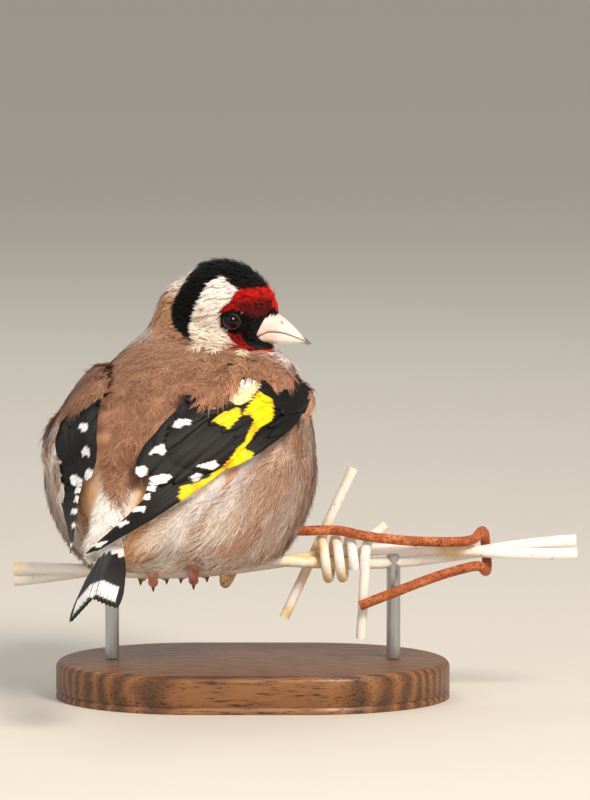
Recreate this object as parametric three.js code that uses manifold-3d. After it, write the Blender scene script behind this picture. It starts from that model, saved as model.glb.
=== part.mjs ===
// European goldfinch, life size, perched on a short cut length of barbed wire that a plain stand carries.
// Millimetres, +Z up. The bird faces -Y and its right side is -X.
// The origin is the middle of the base's underside.
import * as THREE from 'three';
import { mergeVertices } from 'three/addons/utils/BufferGeometryUtils.js';
import Module from 'manifold-3d';

const wasm = await Module();
wasm.setup();
const { Manifold, Mesh: SolidMesh } = wasm;

// Sizes that drive the model
const gap = 0.3; // clear space between two neighbouring pieces
const wireHeight = 28; // middle of the perch above the floor, under the body
const wireTurn = 20; // degrees that the perch turns from straight across the bird
const wireRise = 2.8; // degrees that the perch climbs towards the bird's right
const strandRadius = 1.25;
const strandOffset = strandRadius + gap / 2; // from the middle of the twist to a strand's middle
const twistPitch = 83;
const twistPhase = 102; // degrees, strand a at the middle of the body
const perchFrom = -36;
const perchTo = 84;
const barbRadius = 1.05;
const bundleRadius = strandOffset + strandRadius;
const wrapRadius = bundleRadius + gap + barbRadius;
const baseCentre = 15; // along the perch
const baseHalfLength = 42;
const baseHalfWidth = 30;
const baseThickness = 8;
const baseEdge = 1.5;
const rodPlaces = [-15, 45];
const rodRadius = 1.5;
const headTurn = 70; // degrees, the bill swings to the bird's right
const headPitch = 12; // degrees, the bill points down
const headCentre = [4.9, 15, 54.4];
const eyeRadius = 1.85;
const eyeForward = 1.24;
const eyeUp = -2.24;
const eyeOut = 7.65;
const lidRadius = 1.95;
const lidThickness = 0.42;
const vaneThickness = 0.55;
const tailLength = 46;
const tailRoll = 18; // degrees, the right edge of the tail is lifted
const tailRoot = [-3, -31, 10];
const tailTip = [8.5, -73, -0.8];
const footPlaces = { right: 2.4, left: -6.2 }; // along the perch
const clawRadius = 0.62;
const clawTurn = 8; // degrees, each step of a claw's bend
const clawDrop = 0.75;
const legRadius = 1.05;
const legHeight = 14; // top of the bare leg above the perch
const thighRadii = [4, 5.5, 6.5];
// Room that the belly leaves for the perch
const bellySlot = { length: 80, width: 11.4, height: 16, middle: -0.4 };
const nostril = { ahead: 12.1, side: 1.6, up: -0.75, radius: 0.42 };

// The body's slices, from the belly up:
// height, half width, front, back, where it is widest, middle to the right
const bodySlices = [
  [-3.2, 4, 3, -9, -3, 0],
  [-2.4, 11, 7, -14, -3, 0],
  [2, 20, 16, -20, -2, 0],
  [9, 25.2, 23, -26, -1, 0],
  [18, 28, 26.5, -30, 0, 0],
  [27, 27.6, 28, -28.5, 1, 0],
  [36, 24.3, 28, -20, 5, 0],
  [43, 19.8, 27.5, -10, 9, 0.2],
  [46.5, 15.5, 26, -1, 13, -2.2],
  [49.5, 12.2, 24, 4.5, 14.5, -3.2],
  [54, 9.3, 21, 6, 14, -3.7],
  [57.5, 7, 18, 7, 13, -3.9],
  [60.5, 4, 15.5, 9.5, 12.5, -4.1],
];
// The head along the bill's way: distance, half width, top, bottom
const headSlices = [
  [-10.9, 1.6, 1.9, -1.6],
  [-9.5, 5.3, 6.2, -5.5],
  [-6.5, 8, 9.2, -8.4],
  [-2, 9.4, 10.6, -10.2],
  [2, 9.1, 10.3, -10.4],
  [5.5, 7.5, 8.7, -9.8],
  [8, 5.2, 6.9, -9],
  [9.8, 3.5, 5, -8.2],
  [11, 1.8, 2.6, -7.2],
];
// The rump: how far back, height, half width, half height
const rumpSlices = [
  [20, 16, 15, 13],
  [27, 14.5, 12.5, 12],
  [32, 12.5, 8.5, 9.5],
  [37, 10, 5.2, 6],
  [43, 7.6, 3.6, 2.8],
];
// The bill along its own way: distance, half width, culmen, mouth line, underside
const billSlices = [
  [5.5, 3.6, 2, -4.9, -6.6],
  [7.5, 3.5, 1.8, -4.6, -6.4],
  [9.4, 3.1, 1.3, -3.3, -6.1],
  [12.5, 2.35, -0.2, -3, -5.5],
  [15, 1.5, -1.5, -3.2, -4.9],
  [17.3, 0.75, -3.05, -3.75, -4.45],
];
const billTip = [19, 0.14, -4.15, -4.4, -4.4]; // of the upper half, which is longer

const degrees = Math.PI / 180;
const bird = (right, forward, up) => new THREE.Vector3(-right, -forward, up);

// A smooth value between the rows of a list, by their first number
function between(rows, at, column) {
  const last = rows.length - 1;
  const x = THREE.MathUtils.clamp(at, rows[0][0], rows[last][0]);
  let i = 0;
  while (i < last - 1 && x > rows[i + 1][0]) i++;
  const slope = (k) => {
    const a = rows[Math.max(k - 1, 0)];
    const b = rows[Math.min(k + 1, last)];
    return (b[column] - a[column]) / (b[0] - a[0]);
  };
  const [x0, x1] = [rows[i][0], rows[i + 1][0]];
  const [y0, y1] = [rows[i][column], rows[i + 1][column]];
  const t = (x - x0) / (x1 - x0);
  const [m0, m1] = [slope(i) * (x1 - x0), slope(i + 1) * (x1 - x0)];
  const t2 = t * t;
  const t3 = t2 * t;
  return (2 * t3 - 3 * t2 + 1) * y0 + (t3 - 2 * t2 + t) * m0 + (3 * t2 - 2 * t3) * y1 + (t3 - t2) * m1;
}

// The body bends a little: its middle runs to the left at the rump and back again at the wing tips
const middleLine = [
  [-75, -0.5],
  [-58, -1.5],
  [-44, -2.4],
  [-31, -3],
  [-14, -1.4],
  [0, 0],
  [28, 2.6],
];
function settle(right, forward, up) {
  return bird(right + between(middleLine, forward, 1), forward, up);
}

// Solids from three.js geometry and back
function solid(geometry) {
  const bare = new THREE.BufferGeometry();
  bare.setAttribute('position', geometry.getAttribute('position').clone());
  const index = geometry.getIndex();
  if (index) bare.setIndex(index.clone());
  const merged = mergeVertices(bare, 1e-4);
  const places = merged.getAttribute('position').array;
  const corners = merged.getIndex().array;
  let volume = 0;
  const point = (k) => new THREE.Vector3().fromArray(places, 3 * k);
  for (let i = 0; i < corners.length; i += 3) {
    const normal = point(corners[i + 1]).cross(point(corners[i + 2]));
    volume += point(corners[i]).dot(normal);
  }
  const turned = Uint32Array.from(corners);
  if (volume < 0) {
    for (let i = 0; i < turned.length; i += 3) {
      turned[i + 1] = corners[i + 2];
      turned[i + 2] = corners[i + 1];
    }
  }
  const vertProperties = Float32Array.from(places);
  return new Manifold(new SolidMesh({ numProp: 3, vertProperties, triVerts: turned }));
}

function largest(shape) {
  const parts = shape.decompose();
  return parts.reduce((best, part) => (part.volume() > best.volume() ? part : best));
}

function cut(shape, tools) {
  return tools.reduce((rest, tool) => rest.subtract(tool), shape);
}

function join(shapes) {
  return shapes.reduce((all, shape) => all.add(shape));
}

function toGeometry(shape) {
  const mesh = shape.getMesh();
  const geometry = new THREE.BufferGeometry();
  geometry.setAttribute('position', new THREE.BufferAttribute(Float32Array.from(mesh.vertProperties), 3));
  geometry.setIndex(new THREE.BufferAttribute(Uint32Array.from(mesh.triVerts), 1));
  return geometry;
}

// A closed skin over rings of points, with a point at each end
function loft(rings, ends) {
  const count = rings[0].length;
  const middle = (ring) => ring.reduce((sum, p) => sum.add(p), new THREE.Vector3()).divideScalar(count);
  const [start, end] = ends ?? [middle(rings[0]), middle(rings[rings.length - 1])];
  const points = [...rings.flat(), start, end];
  const index = [];
  for (let i = 0; i < rings.length - 1; i++) {
    for (let j = 0; j < count; j++) {
      const k = (j + 1) % count;
      const [a, b, c, d] = [i * count + j, i * count + k, (i + 1) * count + k, (i + 1) * count + j];
      index.push(a, b, c, a, c, d);
    }
  }
  const tail = (rings.length - 1) * count;
  for (let j = 0; j < count; j++) {
    const k = (j + 1) % count;
    index.push(rings.length * count, k, j);
    index.push(rings.length * count + 1, tail + j, tail + k);
  }
  const geometry = new THREE.BufferGeometry().setFromPoints(points);
  geometry.setIndex(index);
  return solid(geometry);
}

// A round tube through points, its radius set along the way
function tube(points, radiusAt, { sides = 8, steps = 16 } = {}) {
  const curve = new THREE.CatmullRomCurve3(points, false, 'centripetal');
  const frames = curve.computeFrenetFrames(steps, false);
  const rings = [];
  for (let i = 0; i <= steps; i++) {
    const centre = curve.getPointAt(i / steps);
    const radius = radiusAt(i / steps);
    rings.push(Array.from({ length: sides }, (_, j) => {
      const angle = (2 * Math.PI * (j + 0.5)) / sides;
      return centre.clone()
        .addScaledVector(frames.normals[i], radius * Math.cos(angle))
        .addScaledVector(frames.binormals[i], radius * Math.sin(angle));
    }));
  }
  return loft(rings);
}

// Torso and neck in one, grown outwards by a margin where it is used as a cutter
function bodyForm(grow = 0) {
  const levels = 19;
  const around = 22;
  const squareness = 2.15;
  const [low, high] = [bodySlices[0][0], bodySlices[bodySlices.length - 1][0]];
  const rings = [];
  for (let i = 0; i < levels; i++) {
    const t = (1 - Math.cos((Math.PI * i) / (levels - 1))) / 2;
    const z = low + (high - low) * (0.35 * t + (0.65 * i) / (levels - 1));
    const half = between(bodySlices, z, 1) + grow;
    const front = between(bodySlices, z, 2) + grow;
    const back = between(bodySlices, z, 3) - grow;
    const widest = between(bodySlices, z, 4);
    const middle = between(bodySlices, z, 5);
    rings.push(Array.from({ length: around }, (_, j) => {
      const angle = (2 * Math.PI * j) / around;
      const across = Math.sign(Math.sin(angle)) * Math.abs(Math.sin(angle)) ** (2 / squareness);
      const along = Math.sign(Math.cos(angle)) * Math.abs(Math.cos(angle)) ** (2 / squareness);
      const reach = along > 0 ? front - widest : widest - back;
      return settle(middle + half * across, widest + reach * along, z);
    }));
  }
  return loft(rings, [settle(0, -3, low - 0.5 - grow), settle(-4.1, 12.5, high + 1 + grow)]);
}

// Pushes a place on the wing out to the body's surface where it lies inside
function outOfBody(place) {
  const [right, forward, up] = place;
  const half = between(bodySlices, up, 1);
  const widest = between(bodySlices, up, 4);
  const reach = forward > widest ? between(bodySlices, up, 2) - widest : widest - between(bodySlices, up, 3);
  const inside = Math.hypot(right / half, (forward - widest) / reach);
  const scale = inside < 1 ? 1 / inside : 1;
  return [right * scale, widest + (forward - widest) * scale, up];
}

function rumpForm(grow = 0) {
  const steps = 9;
  const around = 16;
  const [from, to] = [rumpSlices[0][0], rumpSlices[rumpSlices.length - 1][0]];
  const rings = [];
  for (let i = 0; i <= steps; i++) {
    const back = from + ((to - from) * i) / steps;
    const half = between(rumpSlices, back, 2) + grow;
    const tall = between(rumpSlices, back, 3) + grow;
    rings.push(Array.from({ length: around }, (_, j) => {
      const angle = (2 * Math.PI * j) / around;
      return settle(half * Math.sin(angle), -back, between(rumpSlices, back, 1) + tall * Math.cos(angle));
    }));
  }
  return loft(rings);
}

// The head's own frame: x along the bill, y to the head's left, z up
const headFrame = new THREE.Matrix4();
{
  const turn = headTurn * degrees;
  const pitch = headPitch * degrees;
  const ahead = bird(Math.sin(turn) * Math.cos(pitch), Math.cos(turn) * Math.cos(pitch), -Math.sin(pitch));
  const over = bird(Math.sin(turn) * Math.sin(pitch), Math.cos(turn) * Math.sin(pitch), Math.cos(pitch));
  const left = over.clone().cross(ahead);
  headFrame.makeBasis(ahead, left, over).setPosition(bird(...headCentre));
}
const onHead = (ahead, left, up) => new THREE.Vector3(ahead, left, up).applyMatrix4(headFrame);

function headForm(grow = 0) {
  const steps = 13;
  const around = 18;
  const [from, to] = [headSlices[0][0], headSlices[headSlices.length - 1][0]];
  const rings = [];
  for (let i = 0; i <= steps; i++) {
    const t = (1 - Math.cos((Math.PI * i) / steps)) / 2;
    const x = from + (to - from) * (0.5 * t + (0.5 * i) / steps);
    const half = between(headSlices, x, 1) + grow;
    const top = between(headSlices, x, 2) + grow;
    const bottom = between(headSlices, x, 3) - grow;
    const mid = (top + bottom) / 2;
    rings.push(Array.from({ length: around }, (_, j) => {
      const angle = (2 * Math.PI * j) / around;
      return onHead(x, half * Math.sin(angle), mid + ((top - bottom) / 2) * Math.cos(angle));
    }));
  }
  return loft(rings, [onHead(from - 0.4 - grow, 0, 0.2), onHead(to + 0.4 + grow, 0, -2.3)]);
}

function ball(radius, place, detail = 14) {
  const geometry = new THREE.SphereGeometry(radius, detail, Math.round(detail / 2));
  geometry.translate(place.x, place.y, place.z);
  return solid(geometry);
}

// The bare rim of the lids round an eye
function lidRing(side) {
  const ring = new THREE.TorusGeometry(lidRadius, lidThickness, 5, 16);
  ring.rotateX(Math.PI / 2);
  ring.translate(eyeForward, side * (eyeOut + 1.15), eyeUp);
  ring.applyMatrix4(headFrame);
  return solid(ring);
}

const eyePlace = (side) => onHead(eyeForward, side * eyeOut, eyeUp);

function nostrilPit(side) {
  const pit = new THREE.SphereGeometry(nostril.radius, 5, 4);
  pit.scale(1.5, 1, 0.8);
  pit.translate(nostril.ahead, side * nostril.side, nostril.up);
  pit.applyMatrix4(headFrame);
  return solid(pit);
}

function billHalf(upper, grow = 0) {
  const around = 12;
  const rings = [];
  const rows = upper ? [...billSlices, billTip] : billSlices;
  for (const [x, half, culmen, mouth, under] of rows) {
    const way = upper ? 1 : -1;
    const seam = mouth + way * (gap / 2 - grow);
    const far = (upper ? culmen : under) + way * grow;
    const wide = (upper ? half : half * 0.94) + grow;
    rings.push(Array.from({ length: around }, (_, j) => {
      const angle = (Math.PI * j) / (around - 1);
      return onHead(x, wide * Math.cos(angle), seam + (far - seam) * Math.sin(angle) ** 0.85);
    }));
  }
  return loft(rings);
}

// The perch: distance along it, towards the bird's back, and up
const across = bird(Math.cos(wireTurn * degrees), Math.sin(wireTurn * degrees), 0);
const backwards = bird(Math.sin(wireTurn * degrees), -Math.cos(wireTurn * degrees), 0);
const climb = Math.tan(wireRise * degrees);
function byPerch(along, back, up) {
  return across.clone().multiplyScalar(along)
    .addScaledVector(backwards, back)
    .add(new THREE.Vector3(0, 0, up + along * climb));
}
// A place beside the perch by its angle: 0 is behind the bird, 90 on top
const roundPerch = (along, radius, angle) =>
  byPerch(along, radius * Math.cos(angle * degrees), radius * Math.sin(angle * degrees));

function strand(phase, grow = 0) {
  const steps = 30;
  const points = Array.from({ length: steps + 1 }, (_, i) => {
    const along = perchFrom - grow + ((perchTo - perchFrom + 2 * grow) * i) / steps;
    return roundPerch(along, strandOffset, phase - (360 * along) / twistPitch);
  });
  return tube(points, () => strandRadius + grow, { sides: 6, steps: 34 });
}

function barbStraight() {
  const ends = [byPerch(36.4, -wrapRadius, 18.7), byPerch(21.7, -wrapRadius, -12.6)];
  return tube(ends, () => barbRadius, { steps: 4 });
}

function barbCoil() {
  const turns = 2.35;
  const steps = 28;
  const start = { along: 29.6, angle: 100 };
  const pitch = 3;
  const points = Array.from({ length: steps + 1 }, (_, i) => {
    const t = i / steps;
    return roundPerch(start.along + pitch * turns * t, wrapRadius + gap / 2, start.angle - 360 * turns * t);
  });
  return tube(points, () => barbRadius, { sides: 6, steps });
}

// Its points lie along the perch at 38 to 43 mm: a cut end on top, a bend behind, and a long arm down
function barbBent() {
  const points = [
    byPerch(43.4, -1.6, 6.6),
    byPerch(41, -1.2, 4.6),
    roundPerch(39.6, wrapRadius + 0.2, 62),
    roundPerch(39, wrapRadius + 0.2, 20),
    byPerch(38.8, wrapRadius, -3.5),
    byPerch(38, wrapRadius - 0.4, -17),
  ];
  return tube(points, () => barbRadius, { steps: 20 });
}

// The rusty wire: a hook under the bird, a run above the perch, a turn round it and a loose arm
function rustyWire() {
  const loopAt = 9;
  const hookAt = 64;
  const points = [
    roundPerch(loopAt - 1.6, wrapRadius, 70),
    roundPerch(loopAt, wrapRadius + 0.1, 10),
    roundPerch(loopAt, wrapRadius + 0.3, -60),
    roundPerch(loopAt + 1, wrapRadius + 0.3, -130),
    roundPerch(loopAt + 3.5, wrapRadius + 0.3, -200),
    byPerch(18, -0.6, 6),
    byPerch(27, 1.7, 6.4),
    byPerch(33, 3.1, 6.3),
    byPerch(39, 4.7, 5),
    byPerch(50, 4.4, 3.3),
    roundPerch(hookAt - 2.5, wrapRadius + 0.3, 42),
    roundPerch(hookAt, wrapRadius + 0.3, 100),
    roundPerch(hookAt + 0.8, wrapRadius + 0.3, 180),
    roundPerch(hookAt + 0.8, wrapRadius + 0.3, 262),
    roundPerch(hookAt - 1.2, wrapRadius + 1.2, 330),
    byPerch(hookAt - 8, 6, -3.7),
    byPerch(37.7, 6.9, -9.6),
  ];
  return tube(points, () => barbRadius, { sides: 6, steps: 44 });
}

// The wing's sheet: its lower and upper edge, evenly spaced from the wrist to the tip
const lowerEdge = [
  [21.2, 8, 35.7],
  [26.3, -3, 31.6],
  [24.5, -14.7, 27],
  [18, -24, 21.3],
  [11, -33.5, 15.8],
  [6.2, -44.5, 12.2],
  [2.2, -57.5, 8.4],
];
const upperEdge = [
  [16, 1, 42],
  [13.5, -9, 40.5],
  [9, -19, 36],
  [6, -27, 30],
  [4, -33.5, 22.8],
  [4, -42.5, 17.2],
  [1.6, -58, 12],
];
const lowerCurve = new THREE.CatmullRomCurve3(lowerEdge.map((p) => new THREE.Vector3(...p)));
const upperCurve = new THREE.CatmullRomCurve3(upperEdge.map((p) => new THREE.Vector3(...p)));

const wingSheet = {
  place(u, v) {
    const p = lowerCurve.getPoint(u).lerp(upperCurve.getPoint(u), v);
    return new THREE.Vector3(...outOfBody(p.toArray()));
  },
  outward(u, v) {
    const step = 0.01;
    const alongWing = this.place(Math.min(u + step, 1), v).sub(this.place(Math.max(u - step, 0), v));
    const acrossWing = this.place(u, v + step).sub(this.place(u, v - step));
    return acrossWing.cross(alongWing).normalize();
  },
  span: (u) => lowerCurve.getPoint(u).distanceTo(upperCurve.getPoint(u)),
};
// The tail's sheet is measured in millimetres across, and droops a little at its sides
const tailSheet = {
  place: (u, v) => new THREE.Vector3(u * tailLength, v, -0.02 * v * v),
  outward: () => new THREE.Vector3(0, 0, 1),
  span: () => 1,
};

// A slab on a sheet from one place (u, v) to another, its width in millimetres and its outline set along it
function slab(sheet, { from, to, width, lift, outline, rows = 5, columns = 1, thick = vaneThickness }) {
  const [low, high] = [[], []];
  const thinFrom = 0.75;
  const tipShare = 0.45;
  for (let i = 0; i <= rows; i++) {
    const t = i / rows;
    const u = THREE.MathUtils.lerp(from[0], to[0], t);
    const centre = THREE.MathUtils.lerp(from[1], to[1], t);
    const half = (width * outline(t)) / 2 / sheet.span(u);
    const thinning = THREE.MathUtils.clamp((t - thinFrom) / (1 - thinFrom), 0, 1);
    const fat = thick * THREE.MathUtils.lerp(1, tipShare, thinning);
    for (let j = 0; j <= columns; j++) {
      const v = centre + half * ((2 * j) / columns - 1);
      const p = sheet.place(u, v);
      const n = sheet.outward(u, v);
      low.push(p.clone().addScaledVector(n, lift));
      high.push(p.clone().addScaledVector(n, lift + fat));
    }
  }
  return { low, high, rows, columns };
}

function slabSolid({ low, high, rows, columns }, put) {
  const points = [...low, ...high].map(put);
  const wide = columns + 1;
  const over = low.length;
  const index = [];
  const at = (i, j) => i * wide + j;
  for (let i = 0; i < rows; i++) {
    for (let j = 0; j < columns; j++) {
      const [a, b, c, d] = [at(i, j), at(i, j + 1), at(i + 1, j + 1), at(i + 1, j)];
      index.push(a, b, c, a, c, d, over + a, over + c, over + b, over + a, over + d, over + c);
    }
  }
  const rim = [];
  for (let j = 0; j < columns; j++) rim.push(at(0, j));
  for (let i = 0; i < rows; i++) rim.push(at(i, columns));
  for (let j = columns; j > 0; j--) rim.push(at(rows, j));
  for (let i = rows; i > 0; i--) rim.push(at(i, 0));
  rim.forEach((a, k) => {
    const b = rim[(k + 1) % rim.length];
    index.push(a, over + a, over + b, a, over + b, b);
  });
  const geometry = new THREE.BufferGeometry().setFromPoints(points);
  geometry.setIndex(index);
  return solid(geometry);
}

// Feather outlines: a long quill with a narrow tip, and a broad one with a round tip
const quill = (t) => 0.55 + 0.45 * Math.min(1, 4 * t) - 0.78 * t ** 5;
const roundTip = (t) => 0.5 + 0.5 * Math.min(1, 3 * t) - 0.62 * t ** 6;
const lerp = THREE.MathUtils.lerp;

// Rows of feathers on the wing, from the lowest layer up, each from the wing's lower edge to its upper one:
// how many, places of the first and last root and tip (u, v), width, and the lift of the first and last
const wingRows = [
  { // primaries
    count: 9,
    roots: [[0.36, 0.16], [0.4, 0.55]],
    tips: [[1, 0.16], [0.76, 0.92]],
    width: 3.2,
    lifts: [0.3, 1.5],
    shape: quill,
  },
  { // secondaries
    count: 6,
    roots: [[0.26, 0.5], [0.26, 0.85]],
    tips: [[0.72, 0.62], [0.62, 0.95]],
    width: 4,
    lifts: [1.3, 1.9],
    shape: quill,
  },
  { // tertials
    count: 3,
    roots: [[0.2, 0.76], [0.2, 0.86]],
    tips: [[0.655, 0.8], [0.5, 0.8]],
    width: 6.4,
    lifts: [1.9, 2.4],
    shape: roundTip,
  },
  { // primary coverts
    count: 4,
    roots: [[0.08, 0.1], [0.08, 0.24]],
    tips: [[0.42, 0.04], [0.36, 0.24]],
    width: 2.8,
    lifts: [1, 1.5],
    shape: roundTip,
  },
  { // greater coverts
    count: 6,
    roots: [[0.08, 0.28], [0.08, 0.92]],
    tips: [[0.35, 0.26], [0.34, 0.96]],
    width: 4.1,
    lifts: [1.6, 2.7],
    shape: roundTip,
  },
  { // alula
    count: 2,
    roots: [[0.03, 0.06], [0.03, 0.12]],
    tips: [[0.27, 0.02], [0.24, 0.12]],
    width: 2.6,
    lifts: [1.5, 1.8],
    shape: roundTip,
  },
  { // median coverts
    count: 4,
    roots: [[0.02, 0.26], [0.02, 0.86]],
    tips: [[0.19, 0.24], [0.19, 0.9]],
    width: 5.2,
    lifts: [2.3, 3.1],
    shape: roundTip,
  },
];
// The bare arm under the feathers, which joins their roots
const wingArm = { from: [0, 0.5], to: [0.5, 0.5], width: 16, lift: 0.1, thick: 1.9, rows: 6, columns: 2 };

function wingForm(side) {
  const put = (p) => settle(side * p.x, p.y, p.z);
  const arm = slab(wingSheet, { ...wingArm, outline: (t) => 0.7 + 1.1 * t * (1 - t) });
  const vanes = wingRows.flatMap(({ count, roots, tips, width, lifts, shape }) =>
    Array.from({ length: count }, (_, i) => {
      const t = i / (count - 1);
      const mix = ([first, last]) => first.map((value, k) => lerp(value, last[k], t));
      return slab(wingSheet, {
        from: mix(roots),
        to: mix(tips),
        width,
        lift: lerp(...lifts, t),
        outline: shape,
        rows: shape === quill ? 4 : 3,
      });
    }));
  return join([arm, ...vanes].map((piece) => slabSolid(piece, put)));
}

// The tail's own frame: x back along it, y to its right, z up
const tailFrame = new THREE.Matrix4();
{
  const back = bird(...tailTip).sub(bird(...tailRoot)).normalize();
  const level = new THREE.Vector3(0, 0, 1).cross(back).normalize();
  const over = back.clone().cross(level);
  const roll = tailRoll * degrees;
  const right = level.multiplyScalar(Math.cos(roll)).addScaledVector(over, Math.sin(roll));
  tailFrame.makeBasis(back, right, back.clone().cross(right)).setPosition(bird(...tailRoot));
}
const onTail = (back, side, up) => new THREE.Vector3(back, side, up).applyMatrix4(tailFrame);

const tailPairs = 6;
const tailFork = 3.2; // the middle pair is this much shorter
const tailCoverts = [
  { count: 5, from: 0.12, to: [0.38, 0.46], spread: 3.4, width: 3, lift: 1.5 },
  { count: 3, from: 0.12, to: [0.34, 0.4], spread: 2.6, width: 3.4, lift: -1.3 },
];
// The tail's fleshy root: how far back, half width, half height
const tailCore = [
  [4, 3.9, 2.4],
  [10, 3.5, 1.9],
  [17, 3.2, 0.9],
];
function tailForm() {
  const put = (p) => onTail(p.x, p.y, p.z);
  const around = 12;
  const core = loft(tailCore.map(([x, half, tall]) =>
    Array.from({ length: around }, (_, j) => {
      const angle = (2 * Math.PI * j) / around;
      return onTail(x, half * Math.cos(angle), tall * Math.sin(angle));
    })));
  const vanes = [];
  for (const side of [1, -1]) {
    for (let i = 0; i < tailPairs; i++) {
      const short = tailFork * (1 - i / (tailPairs - 1)) ** 1.5;
      vanes.push(slab(tailSheet, {
        from: [0.22, side * (0.4 + 0.3 * i)],
        to: [1 - short / tailLength, side * (0.8 + 0.82 * i)],
        width: 2.9,
        lift: 0.95 - 0.27 * i + 0.06 * side,
        outline: roundTip,
        rows: 4,
      }));
    }
  }
  for (const { count, from, to, spread, width, lift } of tailCoverts) {
    for (let i = 0; i < count; i++) {
      const v = spread * ((2 * i) / (count - 1) - 1);
      const middle = 1 - Math.abs(v) / spread;
      vanes.push(slab(tailSheet, {
        from: [from, 0.7 * v],
        to: [lerp(...to, middle), v],
        width,
        lift: lift + 0.25 * middle,
        outline: roundTip,
        rows: 3,
      }));
    }
  }
  return join([core, ...vanes.map((piece) => slabSolid(piece, put))]);
}

// Feet: the toes fold over the perch, three to the front and one behind
const toes = [
  { name: 'inner', spread: 0.9, radius: 0.75, behind: false },
  { name: 'middle', spread: 0, radius: 0.8, behind: false },
  { name: 'outer', spread: -0.9, radius: 0.75, behind: false },
  { name: 'hind', spread: 0, radius: 1, behind: true },
];
const padHeight = bundleRadius + gap + 1.1;

function toePath(place, toe, grow = 0) {
  const side = toe.behind ? 1 : -1;
  const reach = bundleRadius + gap + toe.radius + 0.1;
  const root = byPerch(place, 0, padHeight);
  const turns = toe.behind ? [62, 20, -25, -58] : [60, 15, -28, -52];
  const points = turns.map((angle, i) => {
    const along = place + toe.spread * (1.1 + 0.55 * i);
    return byPerch(along, side * reach * Math.cos(angle * degrees), reach * Math.sin(angle * degrees));
  });
  return tube([root, ...points], (t) => (toe.radius + grow) * (1 - 0.12 * t), { steps: 5, sides: 6 });
}

function clawForm(place, toe) {
  const side = toe.behind ? 1 : -1;
  const reach = bundleRadius + gap + toe.radius + 0.1;
  const along = place + toe.spread * 3.1;
  const first = toe.behind ? -50 : -44;
  const points = [0, 1, 2, 3].map((i) => {
    const angle = first - clawTurn * i;
    const [back, up] = [reach * Math.cos(angle * degrees), reach * Math.sin(angle * degrees)];
    return byPerch(along, side * back, up - clawDrop * i);
  });
  return tube(points, (t) => clawRadius * (1 - 0.85 * t), { steps: 3, sides: 5 });
}

const legTop = (place) => byPerch(place + 2 * Math.sign(place), 4.5, legHeight);
function tarsusForm(place, grow = 0) {
  const ends = [byPerch(place, 0.2, padHeight - 0.2 - grow), legTop(place)];
  return tube(ends, () => legRadius + grow, { steps: 4, sides: 10 });
}
function thighForm(place, grow = 0) {
  const centre = legTop(place).add(new THREE.Vector3(0, -1.5, 4));
  const geometry = new THREE.SphereGeometry(1, 12, 8);
  geometry.scale(...thighRadii.map((radius) => radius + grow));
  geometry.translate(centre.x, centre.y, centre.z);
  return solid(geometry);
}

// Bodies, cut clear of each other
const strandA = strand(twistPhase);
const strandB = strand(twistPhase + 180);
const strandsWide = strand(twistPhase, gap).add(strand(twistPhase + 180, gap));
const neckTilt = new THREE.Vector3(0, -0.3, 0.95).normalize();
const neckCut = neckTilt.dot(bird(0, 12, 45.5));
const flat = (v) => [v.x, v.y, v.z];
const body = bodyForm();
const bodyWide = bodyForm(gap);
const headWide = headForm(gap);
const rumpWide = rumpForm(gap);
const tailWay = new THREE.Vector3().setFromMatrixColumn(tailFrame, 0);
const tailCut = tailWay.dot(onTail(8, 0, 0));

const legs = Object.entries(footPlaces).map(([side, place]) => {
  const digits = toes.map((toe) => toePath(place, toe));
  const pad = new THREE.SphereGeometry(1, 10, 6);
  pad.scale(1.9, 1.9, 1.1);
  const centre = byPerch(place, 0, padHeight);
  pad.translate(centre.x, centre.y, centre.z);
  const foot = join([solid(pad), ...digits]);
  return {
    side,
    place,
    foot: largest(cut(foot, [strandsWide, tarsusForm(place, gap)])),
    claws: toes.map((toe) => ({
      name: `claw_${side}_${toe.name}`,
      shape: largest(cut(clawForm(place, toe), [toePath(place, toe, gap), strandsWide])),
    })),
    tarsus: tarsusForm(place),
    thigh: largest(cut(thighForm(place), [tarsusForm(place, gap)])),
    wide: tarsusForm(place, gap).add(thighForm(place, gap)),
  };
});

const slot = new THREE.BoxGeometry(bellySlot.length, bellySlot.width, bellySlot.height);
slot.rotateY(wireRise * degrees);
slot.rotateZ(wireTurn * degrees);
slot.translate(0, 0, bellySlot.middle);
const belly = [solid(slot), ...legs.map((leg) => leg.wide)];
const lowerBody = body.trimByPlane(flat(neckTilt.clone().negate()), -(neckCut - gap / 2));
const billRooms = [billHalf(true, gap), billHalf(false, gap)];
const torso = largest(cut(lowerBody, [headWide, ...billRooms, ...belly]));
const eyeRooms = [1, -1].map((side) => ball(lidRadius + lidThickness + gap + 0.4, eyePlace(side), 16));
const upperBody = body.trimByPlane(flat(neckTilt), neckCut + gap / 2);
const neck = largest(cut(upperBody, [headWide, ...eyeRooms, ...billRooms]));
const rumpPart = rumpForm().trimByPlane(flat(tailWay.clone().negate()), -(tailCut - gap / 2));
const rump = largest(cut(rumpPart, [bodyWide]));
const tail = largest(tailForm().trimByPlane(flat(tailWay), tailCut + gap / 2));
const wings = { right: 1, left: -1 };
const bills = { upper: true, lower: false };

const sockets = [1, -1].map((side) => ball(eyeRadius + gap, eyePlace(side)));
const head = largest(cut(join([headForm(), lidRing(1), lidRing(-1)]), sockets));

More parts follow.
